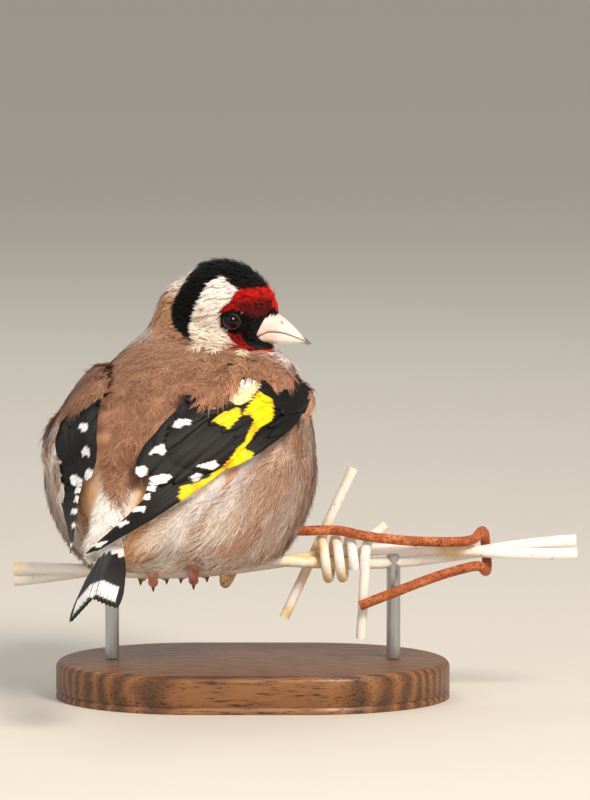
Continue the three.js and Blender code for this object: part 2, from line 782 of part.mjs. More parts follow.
// Stand: a flat oval base with a soft top edge, and two rods cut to sit under the strands
function standBase() {
  const profile = new THREE.Shape();
  const straight = baseHalfLength - baseHalfWidth;
  const radius = baseHalfWidth - baseEdge;
  profile.absarc(straight, 0, radius, -Math.PI / 2, Math.PI / 2, false);
  profile.absarc(-straight, 0, radius, Math.PI / 2, (3 * Math.PI) / 2, false);
  const geometry = new THREE.ExtrudeGeometry(profile, {
    depth: baseThickness - baseEdge,
    bevelEnabled: true,
    bevelThickness: baseEdge,
    bevelSize: baseEdge,
    bevelSegments: 2,
    curveSegments: 9,
  });
  geometry.rotateZ(wireTurn * degrees);
  const centre = byPerch(baseCentre, 0, 0);
  geometry.translate(centre.x, centre.y, -wireHeight);
  const whole = solid(geometry);
  return whole.trimByPlane([0, 0, 1], -wireHeight);
}

function standRod(place) {
  const top = byPerch(place, 0, 0);
  const from = -wireHeight + baseThickness + gap;
  const height = top.z - from;
  const geometry = new THREE.CylinderGeometry(rodRadius, rodRadius, height, 12);
  geometry.rotateX(Math.PI / 2);
  geometry.translate(top.x, top.y, from + height / 2);
  return largest(cut(solid(geometry), [strandsWide]));
}

// Finishes
const finishes = {
  feather: { color: '#b08a6c', roughness: 0.85, metalness: 0 },
  head: { color: '#e9e1d8', roughness: 0.85, metalness: 0 },
  wing: { color: '#17151a', roughness: 0.7, metalness: 0 },
  bill: { color: '#efd9d0', roughness: 0.4, metalness: 0 },
  eye: { color: '#0d0a0a', roughness: 0.08, metalness: 0 },
  foot: { color: '#d99a86', roughness: 0.6, metalness: 0 },
  claw: { color: '#4a342a', roughness: 0.45, metalness: 0 },
  paintedWire: { color: '#efe8de', roughness: 0.55, metalness: 0.1 },
  rust: { color: '#b4572a', roughness: 0.85, metalness: 0.2 },
  wood: { color: '#8a6238', roughness: 0.5, metalness: 0 },
  steel: { color: '#9b9da0', roughness: 0.35, metalness: 1 },
};

const model = new THREE.Group();
function add(name, shape, finish) {
  const mesh = new THREE.Mesh(toGeometry(shape), new THREE.MeshStandardMaterial(finishes[finish]));
  mesh.name = name;
  model.add(mesh);
}

add('head', head, 'head');
for (const [name, upper] of Object.entries(bills)) {
  const pits = upper ? [nostrilPit(1), nostrilPit(-1)] : [];
  add(`bill_${name}`, largest(cut(billHalf(upper), [headWide, ...pits])), 'bill');
}
add('eye_left', ball(eyeRadius, eyePlace(1)), 'eye');
add('eye_right', ball(eyeRadius, eyePlace(-1)), 'eye');
add('neck', neck, 'feather');
add('torso', torso, 'feather');
add('rump', rump, 'feather');
add('tail', tail, 'wing');
for (const [name, side] of Object.entries(wings)) {
  add(`wing_${name}`, largest(cut(wingForm(side), [bodyWide, rumpWide])), 'wing');
}
for (const leg of legs) {
  add(`thigh_${leg.side}`, leg.thigh, 'feather');
  add(`tarsus_${leg.side}`, leg.tarsus, 'foot');
  add(`foot_${leg.side}`, leg.foot, 'foot');
  for (const claw of leg.claws) add(claw.name, claw.shape, 'claw');
}
add('perch_strand_a', strandA, 'paintedWire');
add('perch_strand_b', strandB, 'paintedWire');
add('perch_barb_straight', barbStraight(), 'paintedWire');
add('perch_barb_coil', barbCoil(), 'paintedWire');
add('perch_barb_bent', barbBent(), 'paintedWire');
add('perch_rusty_wire', rustyWire(), 'rust');
add('stand_base', standBase(), 'wood');
rodPlaces.forEach((place, i) => add(`stand_rod_${i === 0 ? 'left' : 'right'}`, standRod(place), 'steel'));

const standCentre = byPerch(baseCentre, 0, 0);
model.position.set(-standCentre.x, -standCentre.y, wireHeight);

export default model;
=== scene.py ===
import math

import bpy
import numpy as np
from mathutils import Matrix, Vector
from mathutils.bvhtree import BVHTree
from mathutils.kdtree import KDTree


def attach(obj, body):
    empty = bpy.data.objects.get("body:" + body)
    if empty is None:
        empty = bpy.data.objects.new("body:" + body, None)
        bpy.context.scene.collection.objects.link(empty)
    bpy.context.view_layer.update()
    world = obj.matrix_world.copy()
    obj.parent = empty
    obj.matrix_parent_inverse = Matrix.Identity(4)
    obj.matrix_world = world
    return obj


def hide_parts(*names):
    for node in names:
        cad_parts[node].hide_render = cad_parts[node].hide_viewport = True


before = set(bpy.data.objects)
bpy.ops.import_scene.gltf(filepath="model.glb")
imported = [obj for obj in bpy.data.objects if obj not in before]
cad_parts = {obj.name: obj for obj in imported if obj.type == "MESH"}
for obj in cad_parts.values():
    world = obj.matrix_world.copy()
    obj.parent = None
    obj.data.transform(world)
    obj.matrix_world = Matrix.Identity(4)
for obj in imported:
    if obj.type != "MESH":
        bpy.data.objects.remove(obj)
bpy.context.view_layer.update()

# Lengths are in millimetres from the middle of the perch under the bird, which faces -Y, its right side at -X
mm = 0.001
degrees = math.pi / 180
draw = np.random.default_rng(7)

perch = dict(turn=20, rise=2.8, height=28, standAt=15, start=-36, end=84, strandRadius=1.25, strandOffset=1.4,
             pitch=83, phase=102, barbRadius=1.05, bundle=2.65, wrap=4.0)
head = dict(turn=70, pitch=12, centre=(4.9, 15, 54.4))
eye = dict(radius=1.85, ahead=1.24, up=-2.24, side=7.65, iris=1.5, pupil=0.95, lidRadius=1.84,
           lidThickness=0.17, beads=34, lidSteps=240, lidAround=12)
seat = np.array([perch["standAt"] * math.cos(perch["turn"] * degrees),
                 perch["standAt"] * math.sin(perch["turn"] * degrees), perch["height"]])


def linear(colour):
    # "#RRGGBB" as shown on a screen, made linear
    values = [int(colour[i:i + 2], 16) / 255 for i in (1, 3, 5)]
    return tuple(v / 12.92 if v <= 0.04045 else ((v + 0.055) / 1.055) ** 2.4 for v in values)


def shade(colour):
    return (*linear(colour), 1)


def pigment(colour):
    return np.array(linear(colour))


def pigments(**colours):
    return {name: pigment(value) for name, value in colours.items()}


def places3(x, y, z):
    return np.stack(np.broadcast_arrays(np.asarray(x, float), y, z), -1)


def bird(right, forward, up):
    return places3(-np.asarray(right, float), -np.asarray(forward, float), up)


def unit(v):
    return v / np.maximum(np.linalg.norm(v, axis=-1, keepdims=True), 1e-9)


def ease(x, low, high):
    t = np.clip((x - low) / (high - low), 0, 1)
    return t * t * (3 - 2 * t)


def hermite(t, a, slopeA, b, slopeB):
    return ((2 * t ** 3 - 3 * t * t + 1) * a + (t ** 3 - 2 * t * t + t) * slopeA
            + (3 * t * t - 2 * t ** 3) * b + (t ** 3 - t * t) * slopeB)


def between(rows, at, column):
    # a smooth value between the rows of a list, by their first number
    rows = np.asarray(rows, float)
    x = np.clip(np.asarray(at, float), rows[0, 0], rows[-1, 0])
    i = np.clip(np.searchsorted(rows[:, 0], x, side="left") - 1, 0, len(rows) - 2)
    y = rows[:, column]
    after = np.minimum(np.arange(len(rows)) + 1, len(rows) - 1)
    before = np.maximum(np.arange(len(rows)) - 1, 0)
    slope = (y[after] - y[before]) / (rows[after, 0] - rows[before, 0])
    width = rows[i + 1, 0] - rows[i, 0]
    t = (x - rows[i, 0]) / width
    return hermite(t, y[i], slope[i] * width, y[i + 1], slope[i + 1] * width)


def through(points, count):
    # a smooth path through points, even in length
    p = np.asarray(points, float)
    p = np.vstack([2 * p[0] - p[1], p, 2 * p[-1] - p[-2]])
    dense = []
    for i in range(1, len(p) - 2):
        gaps = [max(np.linalg.norm(p[i + k] - p[i + k - 1]) ** 0.5, 1e-6) for k in (0, 1, 2)]
        slopes = [((p[k] - p[k - 1]) / before - (p[k + 1] - p[k - 1]) / (before + after)
                   + (p[k + 1] - p[k]) / after) * gaps[1]
                  for k, before, after in ((i, gaps[0], gaps[1]), (i + 1, gaps[1], gaps[2]))]
        t = np.linspace(0, 1, 24, endpoint=i == len(p) - 3)[:, None]
        dense.append(hermite(t, p[i], slopes[0], p[i + 1], slopes[1]))
    dense = np.vstack(dense)
    run = np.concatenate([[0], np.cumsum(np.linalg.norm(np.diff(dense, axis=0), axis=1))])
    at = np.linspace(0, run[-1], count)
    return np.stack([np.interp(at, run, dense[:, k]) for k in range(3)], 1)


# Materials: one function adds a node, its settings and its links
def addNode(tree, kind, links=None, **settings):
    node = tree.nodes.new(kind)
    for name, value in settings.items():
        setattr(node, name, value)
    for name, value in (links or {}).items():
        socket = node.inputs[name]
        if isinstance(value, bpy.types.NodeSocket):
            tree.links.new(value, socket)
        else:
            socket.default_value = value
    return node


def material(name, fixed, build=None):
    made = bpy.data.materials.new(name)
    made.use_nodes = True
    tree = made.node_tree
    shader = tree.nodes["Principled BSDF"]
    for socket, value in fixed.items():
        shader.inputs[socket].default_value = value
    if build:
        for socket, value in build(tree).items():
            tree.links.new(value, shader.inputs[socket])
    return made


def objectPlace(tree, size, place=None):
    # Object coordinates in turns per metre, from a size in millimetres, one for all axes or one for each
    place = place or objectSpot(tree)
    scale = 1000 / (np.ones(3) * size)
    return addNode(tree, "ShaderNodeMapping", {"Vector": place, "Scale": scale}).outputs["Vector"]


def noise(tree, size, detail=3, rough=0.55, place=None):
    links = {"Vector": objectPlace(tree, size, place), "Scale": 1, "Detail": detail, "Roughness": rough}
    return addNode(tree, "ShaderNodeTexNoise", links).outputs["Fac"]


def ramp(tree, value, *stops):
    node = addNode(tree, "ShaderNodeValToRGB", {"Fac": value})
    elements = node.color_ramp.elements
    while len(elements) < len(stops):
        elements.new(0.5)
    for element, (place, colour) in zip(elements, stops):
        element.position = place
        element.color = colour
    return node.outputs["Color"]


def mix(tree, share, a, b, blend="MIX"):
    # sockets 6 and 7 are the node's two colours
    links = {0: share, 6: a, 7: b}
    return addNode(tree, "ShaderNodeMix", links, data_type="RGBA", blend_type=blend).outputs[2]


def multiply(tree, a, b):
    return mix(tree, 1.0, a, b, "MULTIPLY")


def tinted(tree, value, low, high, dark, light):
    # the colour painted on the mesh, made darker and lighter by a value
    return multiply(tree, paintOf(tree), ramp(tree, value, (low, dark), (high, light)))


def compute(tree, operation, *values):
    return addNode(tree, "ShaderNodeMath", dict(enumerate(values)), operation=operation).outputs[0]


def paintOf(tree):
    # the colour painted on the mesh, point by point
    return addNode(tree, "ShaderNodeAttribute", attribute_name="Paint").outputs["Color"]


def objectSpot(tree):
    return addNode(tree, "ShaderNodeTexCoord").outputs["Object"]


def bump(tree, height, strength, deep):
    links = {"Height": height, "Strength": strength, "Distance": deep * mm}
    return addNode(tree, "ShaderNodeBump", links).outputs["Normal"]


def grey(level):
    return (level, level, level, 1)


# Body feathers are soft and matt, and each keeps the colour painted on it, a little uneven from barb to barb
def plumageNodes(tree):
    fine = noise(tree, (0.5, 0.5, 1.4), 2)
    return {"Base Color": tinted(tree, fine, 0.3, 0.7, grey(0.84), grey(1.12))}


plumage = material("softPlumage", {"Roughness": 0.72, "Sheen Weight": 0.06, "Sheen Roughness": 0.5,
                                   "Specular IOR Level": 0.15}, plumageNodes)


# Flight feathers are firm vanes: fine slanting barbs either side of a shaft give them a silky gloss
def vaneNodes(tree):
    vane = addNode(tree, "ShaderNodeUVMap", uv_map="Vane").outputs["UV"]
    parts = addNode(tree, "ShaderNodeSeparateXYZ", {"Vector": vane}).outputs
    slant = compute(tree, "MULTIPLY_ADD", compute(tree, "ABSOLUTE", parts["X"]), -1.1, parts["Y"])
    # barbs drawn 0.45 mm apart, about three times as coarse as real ones, so that they show
    barbs = compute(tree, "SINE", compute(tree, "MULTIPLY", slant, 2 * math.pi / 0.45))
    soft = noise(tree, 1.2, 3)
    height = compute(tree, "MULTIPLY_ADD", barbs, 0.5, soft)
    return {"Base Color": tinted(tree, soft, 0.3, 0.7, grey(0.8), grey(1.2)),
            "Normal": bump(tree, height, 0.5, 0.06)}


vaneFinish = material("barbedVanes", {"Roughness": 0.5, "Specular IOR Level": 0.3}, vaneNodes)


# Bill horn is ivory and faintly pink, grown in smooth layers, worn matt in streaks and dusky at its tip
def hornNodes(tree):
    grain = noise(tree, (1.2, 1.2, 0.5), 4)
    return {"Base Color": tinted(tree, grain, 0.35, 0.65, grey(0.9), grey(1.06)),
            "Roughness": ramp(tree, grain, (0.3, grey(0.3)), (0.7, grey(0.46))),
            "Normal": bump(tree, grain, 0.25, 0.05)}


horn = material("billHorn", {"Subsurface Weight": 0.15, "Subsurface Scale": 0.0008, "IOR": 1.54}, hornNodes)


# The eye is polished glass over a dark iris
def eyeNodes(tree):
    fleck = noise(tree, 0.25, 2)
    return {"Base Color": tinted(tree, fleck, 0.3, 0.7, grey(0.8), grey(1.3))}


eyeGlass = material("polishedEye", {"Roughness": 0.05, "IOR": 1.3, "Coat Weight": 0.15,
                                    "Coat Roughness": 0.02}, eyeNodes)


# Bare lids and feet: soft pink skin under small horny scutes that catch the light at their edges
def scaleNodes(tree):
    blotch = noise(tree, 1.5, 4)
    cells = addNode(tree, "ShaderNodeTexVoronoi", {"Vector": objectPlace(tree, 0.42), "Scale": 1})
    return {"Base Color": tinted(tree, blotch, 0.3, 0.7, shade("#D9B6A8"), shade("#FFFFFF")),
            "Normal": bump(tree, cells.outputs["Distance"], 0.35, 0.08)}


scaly = material("scutedSkin", {"Roughness": 0.45, "Subsurface Weight": 0.2, "Subsurface Scale": 0.0008},
                 scaleNodes)


# Galvanised wire under thick cream paint, brushed on: thin yellowed places and a few chips down to rust
def paintNodes(tree):
    wide = noise(tree, 9, 3)
    small = noise(tree, 1.3, 4, 0.65)
    brush = noise(tree, 1, 5, 0.6)
    cover = ramp(tree, wide, (0.5, shade("#F7F2EC")), (0.62, shade("#F1DCB2")), (0.72, shade("#DDB47A")))
    dirt = ramp(tree, small, (0.6, grey(1)), (0.76, shade("#C7A27E")))
    chips = ramp(tree, small, (0.72, grey(0)), (0.76, grey(1)))
    return {"Base Color": mix(tree, chips, multiply(tree, cover, dirt), shade("#7A4526")),
            "Normal": bump(tree, brush, 0.5, 0.12)}


creamPaint = material("creamPaintedWire", {"Roughness": 0.42, "Specular IOR Level": 0.5}, paintNodes)


# Bare iron wire left to rust, orange bloom over dark pits, with cream paint on its hooked end under the bird
def rustNodes(tree):
    wide = noise(tree, 3.5, 4, 0.6)
    pits = noise(tree, 0.5, 4, 0.7)
    bloom = ramp(tree, wide, (0.3, shade("#8F4A2A")), (0.5, shade("#B96233")), (0.7, shade("#DC8E5A")))
    # the share of 40 mm along the perch
    along = addNode(tree, "ShaderNodeVectorMath", {0: objectSpot(tree), 1: (-23.5, -8.5, 0)},
                    operation="DOT_PRODUCT").outputs["Value"]
    bare = ramp(tree, compute(tree, "ADD", along, perch["standAt"] / 40), (0.33, grey(0)), (0.43, grey(1)))
    dark = ramp(tree, pits, (0.34, shade("#6B4434")), (0.5, grey(1)))
    return {"Base Color": multiply(tree, mix(tree, bare, shade("#EFCF9C"), bloom), dark),
            "Normal": bump(tree, pits, 0.8, 0.15)}


rust = material("rustedIron", {"Roughness": 0.78, "Metallic": 0.15}, rustNodes)


# The base is oiled walnut: long grain along the perch with fine pores, planed and rubbed smooth
def woodNodes(tree):
    turn = (0, 0, -perch["turn"] * degrees)
    links = {"Vector": objectSpot(tree), "Rotation": turn}
    turned = addNode(tree, "ShaderNodeMapping", links).outputs["Vector"]
    bend = noise(tree, (60, 12, 12), 2, place=turned)
    bands = {"Vector": objectPlace(tree, (40, 9, 14), turned), "Scale": 1, "Distortion": 5, "Detail": 3,
             "Detail Scale": 1.2}
    grain = addNode(tree, "ShaderNodeTexWave", bands, bands_direction="Y").outputs["Fac"]
    pores = noise(tree, (5, 0.35, 0.35), 3, 0.7, turned)
    tone = mix(tree, 0.35, grain, bend)
    base = ramp(tree, tone, (0.2, shade("#5F3F28")), (0.55, shade("#7A4F2F")), (0.85, shade("#94653D")))
    speck = ramp(tree, pores, (0.36, shade("#6B4A35")), (0.46, grey(1)))
    return {"Base Color": multiply(tree, base, speck), "Normal": bump(tree, pores, 0.25, 0.08),
            "Roughness": ramp(tree, pores, (0.3, grey(0.55)), (0.6, grey(0.36)))}


walnut = material("oiledWalnut", {}, woodNodes)


# The rods are drawn steel, with fine lines along them
def steelNodes(tree):
    lines = noise(tree, (0.12, 0.12, 14), 3)
    return {"Roughness": ramp(tree, lines, (0.3, grey(0.24)), (0.7, grey(0.42))),
            "Base Color": ramp(tree, lines, (0.3, shade("#A9ABAD")), (0.7, shade("#C4C5C6"))),
            "Normal": bump(tree, lines, 0.15, 0.02)}


steel = material("drawnSteel", {"Metallic": 1.0}, steelNodes)
print("materials made")


def makeObject(name, points, faces, finish, paint=None, uvs=None):
    # points in millimetres, faces as an array of triangles or quads, or a list of such arrays
    mesh = bpy.data.meshes.new(name)
    groups = faces if isinstance(faces, list) else [faces]
    loops = np.concatenate([g.ravel() for g in groups]).astype(np.int32)
    sizes = np.concatenate([np.full(len(g), g.shape[1]) for g in groups]).astype(np.int32)
    mesh.vertices.add(len(points))
    mesh.vertices.foreach_set("co", ((points + seat) * mm).astype(np.float32).ravel())
    mesh.loops.add(len(loops))
    mesh.loops.foreach_set("vertex_index", loops)
    mesh.polygons.add(len(sizes))
    mesh.polygons.foreach_set("loop_start", np.concatenate([[0], np.cumsum(sizes)[:-1]]).astype(np.int32))
    mesh.polygons.foreach_set("loop_total", sizes)
    mesh.polygons.foreach_set("use_smooth", np.ones(len(sizes), bool))
    mesh.update(calc_edges=True)
    mesh.validate()
    if paint is not None:
        layer = mesh.color_attributes.new(name="Paint", type="FLOAT_COLOR", domain="POINT")
        rgba = np.concatenate([paint, np.ones((len(paint), 1))], 1)
        layer.data.foreach_set("color", rgba.astype(np.float32).ravel())
    for label, values in (uvs or {}).items():
        mesh.uv_layers.new(name=label).data.foreach_set("uv", values[loops].astype(np.float32).ravel())
    mesh.materials.append(finish)
    made = bpy.data.objects.new(name, mesh)
    bpy.context.scene.collection.objects.link(made)
    return made


def asPiece(made, slotName, *nodes):
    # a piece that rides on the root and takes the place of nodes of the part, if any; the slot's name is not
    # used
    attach(made, "root")
    if nodes:
        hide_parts(*nodes)


def inPlaceOf(node, label, points, faces, finish, paint):
    # a mesh that takes the place of the part's node of that name
    asPiece(makeObject(f"{node}_{label}", points, faces, finish, paint), node, node)


def ringFaces(rings, around):
    # quads between rings, and triangles from the first and last ring to the two end points after them
    i, j = np.meshgrid(np.arange(rings - 1), np.arange(around), indexing="ij")
    k = (j + 1) % around
    corners = [i * around + j, i * around + k, (i + 1) * around + k, (i + 1) * around + j]
    quads = np.stack(corners, -1).reshape(-1, 4)
    j = np.arange(around)
    k = (j + 1) % around
    last = (rings - 1) * around
    first = np.stack([np.full(around, rings * around), k, j], -1)
    final = np.stack([np.full(around, rings * around + 1), last + j, last + k], -1)
    return [quads, np.concatenate([first, final])]


def volumeOf(points, *groups):
    # six times the volume inside the faces, below zero if they look inwards
    total = 0
    for faces in groups:
        corner = points[faces]
        for k in range(1, faces.shape[1] - 1):
            total += np.einsum("ij,ij->i", corner[:, 0], np.cross(corner[:, k], corner[:, k + 1])).sum()
    return total


def loft(rings, ends=None):
    # a closed skin over rings of points, turned so that its faces point out
    rings = np.asarray(rings)
    ends = ends if ends is not None else [rings[0].mean(0), rings[-1].mean(0)]
    points = np.vstack([rings.reshape(-1, 3), ends])
    faces = ringFaces(len(rings), rings.shape[1])
    if volumeOf(points, *faces) < 0:
        faces = [g[:, ::-1] for g in faces]
    return points, faces


def tube(path, radii, around):
    # a round tube along a path, its frame carried along without twist
    way = unit(np.gradient(path, axis=0))
    side = unit(np.cross(way[0], [0.3, 0.2, 1]))
    angle = 2 * math.pi * np.arange(around) / around
    rings = []
    for centre, radius, along in zip(path, radii, way):
        side = unit(side - along * (side @ along))
        over = np.cross(along, side)
        rings.append(centre + radius * (np.cos(angle)[:, None] * side + np.sin(angle)[:, None] * over))
    return loft(np.array(rings))


def joined(parts):
    # several (points, [quads, triangles]) as one
    start, points, quads, caps = 0, [], [], []
    for p, (q, c) in parts:
        points.append(p)
        quads.append(q + start)
        caps.append(c + start)
        start += len(p)
    return np.vstack(points), [np.vstack(quads), np.vstack(caps)]


# The head's own frame: along the bill, to the head's left, and up
turn, pitch = head["turn"] * degrees, head["pitch"] * degrees
ahead = np.array([-math.sin(turn) * math.cos(pitch), -math.cos(turn) * math.cos(pitch), -math.sin(pitch)])
overHead = np.array([-math.sin(turn) * math.sin(pitch), -math.cos(turn) * math.sin(pitch), math.cos(pitch)])
headAxes = np.array([ahead, np.cross(overHead, ahead), overHead])
headMiddle = bird(*head["centre"])


def onHead(x, y, z):
    return headMiddle + places3(x, y, z) @ headAxes


def toHead(points):
    return (points - headMiddle) @ headAxes.T


# Slices of the body from the belly up: height, half width, front, back, widest place, middle to the right
bodySlices = [
    (-3.2, 4, 3, -9, -3, 0), (-2.4, 11, 7, -14, -3, 0), (2, 20, 16, -20, -2, 0), (9, 25.2, 23, -26, -1, 0),
    (18, 28, 26.5, -30, 0, 0), (27, 27.6, 28, -28.5, 1, 0), (36, 24.3, 28, -20, 5, 0),
    (43, 19.8, 27.5, -10, 9, 0.2), (46.5, 15.5, 26, -1, 13, -2.2), (49.5, 12.2, 24, 4.5, 14.5, -3.2),
    (54, 9.3, 21, 6, 14, -3.7), (57.5, 7, 18, 7, 13, -3.9), (60.5, 4, 15.5, 9.5, 12.5, -4.1)]
# Slices of the head along the bill's way: distance, half width, top, bottom
headSlices = [
    (-10.9, 1.6, 1.9, -1.6), (-9.5, 5.3, 6.2, -5.5), (-6.5, 8, 9.2, -8.4), (-2, 9.4, 10.6, -10.2),
    (2, 9.0, 10.3, -10.4), (5.5, 6.9, 8.7, -9.8), (8, 4.0, 6.9, -9), (9.8, 2.6, 5, -8.4),
    (11, 1.5, 2.6, -7.6)]
# Slices of the rump: how far back, height, half width, half height
rumpSlices = [(20, 16, 15, 13), (27, 14.5, 12.5, 12), (32, 12.5, 8.5, 9.5), (37, 10, 5.2, 6),
              (43, 7.6, 3.6, 2.8)]
# The bird's middle line from above: place ahead, and how far to the right it lies there
middleLine = [(-75, -0.5), (-58, -1.5), (-44, -2.4), (-31, -3), (-14, -1.4), (0, 0), (28, 2.6)]
# How deep the skin lies inside the solids and its voxel size, the furrow for the perch, the lower edge of the
# belly, and its arch over the right foot
coat = dict(bodyDepth=1.7, headDepth=0.95, voxel=0.75, slotHalfWidth=5.4, slotTop=7.4, bellyEdge=0.8,
            archHeight=3, archAt=2.4, archWidth=2.4, drawnUp=0.75)


def settle(right, forward, up):
    return bird(right + between(middleLine, forward, 1), forward, up)


def bodyRings(grow, levels=56, around=64, squareness=2.15):
    i = np.arange(levels) / (levels - 1)
    low, high = bodySlices[0][0], bodySlices[-1][0]
    z = (low + (high - low) * (0.35 * (1 - np.cos(math.pi * i)) / 2 + 0.65 * i))[:, None]
    half, front, back, widest, middle = [between(bodySlices, z, k) for k in (1, 2, 3, 4, 5)]
    angle = 2 * math.pi * np.arange(around) / around
    bend = lambda v: np.sign(v) * np.abs(v) ** (2 / squareness)
    sideways, along = bend(np.sin(angle)), bend(np.cos(angle))
    reach = np.where(along > 0, front + grow - widest, widest - back + grow)
    rings = settle(middle + (half + grow) * sideways, widest + reach * along, z + 0 * reach)
    return rings, [settle(0, -3, low - 0.5 - grow), settle(-4.1, 12.5, high + 1 + grow)]


def rumpRings(grow, steps=20, around=40):
    back = np.linspace(rumpSlices[0][0], rumpSlices[-1][0], steps)[:, None]
    angle = 2 * math.pi * np.arange(around) / around
    half, tall = between(rumpSlices, back, 2) + grow, between(rumpSlices, back, 3) + grow
    middle = between(rumpSlices, back, 1)
    return settle(half * np.sin(angle), -back + 0 * angle, middle + tall * np.cos(angle)), None


def headRings(grow, steps=40, around=48):
    i = np.arange(steps) / (steps - 1)
    low, high = headSlices[0][0], headSlices[-1][0]
    x = (low + (high - low) * (0.25 * (1 - np.cos(math.pi * i)) + 0.5 * i))[:, None]
    half, top = between(headSlices, x, 1) + grow, between(headSlices, x, 2) + grow
    bottom = between(headSlices, x, 3) - grow
    angle = 2 * math.pi * np.arange(around) / around
    height = (top + bottom) / 2 + (top - bottom) / 2 * np.cos(angle)
    rings = onHead(x + 0 * angle, half * np.sin(angle), height)
    return rings, [onHead(low - 0.4 - grow, 0, 0.2), onHead(high + 0.4 + grow, 0, -2.3)]


def fleshHull():
    # body, rump and head as one smooth closed skin, inside the solids by the depth of the feathers
    parts = [loft(*bodyRings(-coat["bodyDepth"])), loft(*rumpRings(-coat["bodyDepth"])),
             loft(*headRings(-coat["headDepth"]))]
    rough = makeObject("fleshDraft", *joined(parts), plumage)
    remesh = rough.modifiers.new("remesh", "REMESH")
    remesh.mode = "VOXEL"
    remesh.voxel_size = coat["voxel"] * mm
    soften = rough.modifiers.new("soften", "SMOOTH")
    soften.factor = 0.5
    soften.iterations = 6
    drawn = bpy.data.meshes.new_from_object(rough.evaluated_get(bpy.context.evaluated_depsgraph_get()))
    points = np.empty(len(drawn.vertices) * 3, np.float32)
    drawn.vertices.foreach_get("co", points)
    points = points.reshape(-1, 3).astype(float) / mm - seat
    drawn.calc_loop_triangles()
    corners = np.empty(len(drawn.loop_triangles) * 3, np.int32)
    drawn.loop_triangles.foreach_get("vertices", corners)
    bpy.data.objects.remove(rough)
    bpy.data.meshes.remove(drawn)
    return clearOfPerch(points, 1.2), corners.reshape(-1, 3)


# Perch places: distance along it, towards the bird's back, and up
turnPerch = perch["turn"] * degrees
across = bird(math.cos(turnPerch), math.sin(turnPerch), 0)
backwards = bird(math.sin(turnPerch), -math.cos(turnPerch), 0)
climb = math.tan(perch["rise"] * degrees)


def byPerch(along, back, up):
    along, back, up = [np.asarray(v, float)[..., None] for v in (along, back, up)]
    return along * across + back * backwards + (up + along * climb) * np.array([0, 0, 1])


def roundPerch(along, radius, angle):
    # 0 degrees is behind the bird, 90 on top
    angle = np.asarray(angle, float) * degrees
    return byPerch(along, radius * np.cos(angle), radius * np.sin(angle))


def clearOfPerch(points, above=0.0):
    # the belly ends just over the perch and arches up over the right foot: what would hang lower is drawn up
    along = points @ across
    rise = points[..., 2] - along * climb
    arch = coat["archHeight"] * np.exp(-((along - coat["archAt"]) / coat["archWidth"]) ** 2)
    edge = coat["bellyEdge"] + above + arch
    low = np.minimum(rise - edge, 0)
    out = points.copy()
    out[..., 2] -= coat["drawnUp"] * low
    return out


hullPoints, hullFaces = fleshHull()
hull = BVHTree.FromPolygons(hullPoints.tolist(), hullFaces.tolist())
print("flesh hull", len(hullFaces))

# Markings of the head, seen from its side: distance ahead of its middle and height
headMarks = dict(
    hood=[(1.4, 4.7), (4.4, 5.7), (6.9, 5.9), (7.9, 7.4), (6, 13), (-3, 14), (-8.5, 12), (-7.8, 7.7),
          (-9.5, 5.3), (-10.8, 2.1), (-11.7, -2.1), (-10.9, -4.9), (-8.8, -7), (-5.9, -8.1), (-7.1, -5.1),
          (-6.7, -1), (-6.2, 1.8), (-5.3, 4.5), (-2.8, 6.9)],
    cheek=[(-2.8, 6.9), (-5.3, 4.5), (-6.2, 1.8), (-6.7, -1), (-7.1, -5.1), (-5.9, -8.1), (-3, -12),
           (13.4, -12), (13.4, -9), (9.8, -8.9), (6.5, -8.7), (0.8, -4.9), (-1.4, -3.4), (-1.8, -1.4),
           (0.1, 1.2), (1.4, 4.7)],
    red=[(1.4, 4.7), (4.4, 5.7), (6.9, 5.9), (7.9, 7.4), (14, 6), (14, 1.6), (8.9, 1.9), (8.1, 0.1),
         (5.7, -0.4), (3.6, 0.1), (1.5, 0.8), (0.1, 1.2), (0.6, 3)],
    brow=[(-1.9, -1.2), (-0.9, 0.5), (0.1, 1.7), (1.6, 1.7), (3, 0.2), (3, -1.2)],
    moustache=[(0.4, -4.6), (3.9, -4.7), (5.4, -6.2), (7.5, -7), (7.5, -8.8), (6.2, -8.7), (3, -6.6)],
    lores=[(1, 0.75), (3.6, 0.1), (5.7, -0.4), (8.1, 0.1), (8.9, 1.9), (14, 1.6), (14, -6.7), (7.2, -7.2),
           (5.4, -6.2), (3.9, -4.7), (1.6, -4.7)],
    chin=[(7.2, -7.1), (12.2, -6.7), (12.6, -8.8), (10.4, -10.2), (7.6, -9.6)],
    nape=[(-7.8, 7.7), (-9.5, 5.3), (-10.8, 2.1), (-11.4, -0.6), (-13, -1), (-12.2, 4.5), (-10, 9)],
    shawl=[(-10.9, -4.9), (-8.8, -7), (-5.9, -8.1), (1.3, -10.3), (6.45, -9.7), (12.1, -9.5), (12, -15),
           (-24, -15), (-24, 8), (-11, 8), (-10.2, 3)])
headColours = dict(hood="#060506", cheek="#F8F1EA", cheekWarm="#F0DDC8", red="#C41208", darkRed="#2A0605",
                   lores="#050404", chin="#D81A0A", nape="#E9DDD2")
bodyColours = dict(hindNeck="#BC9270", mantle="#B5866A", mantleDark="#8C624B", flank="#EFE3D7",
                   lilac="#CFC6CC", buff="#BE8458", breast="#F1E4D5", side="#9C6F50", rump="#F8F0E8",
                   rumpSide="#DDAE80", white="#F8F4EE")
tones = pigments(**headColours, **bodyColours)


def within(outline, x, y):
    # which places lie inside a closed outline
    inside = np.zeros(x.shape, bool)
    for (x0, y0), (x1, y1) in zip(outline, outline[1:] + outline[:1]):
        crosses = (y0 > y) != (y1 > y)
        inside ^= crosses & (x < (x1 - x0) * (y - y0) / (y1 - y0 + 1e-12) + x0)
    return inside


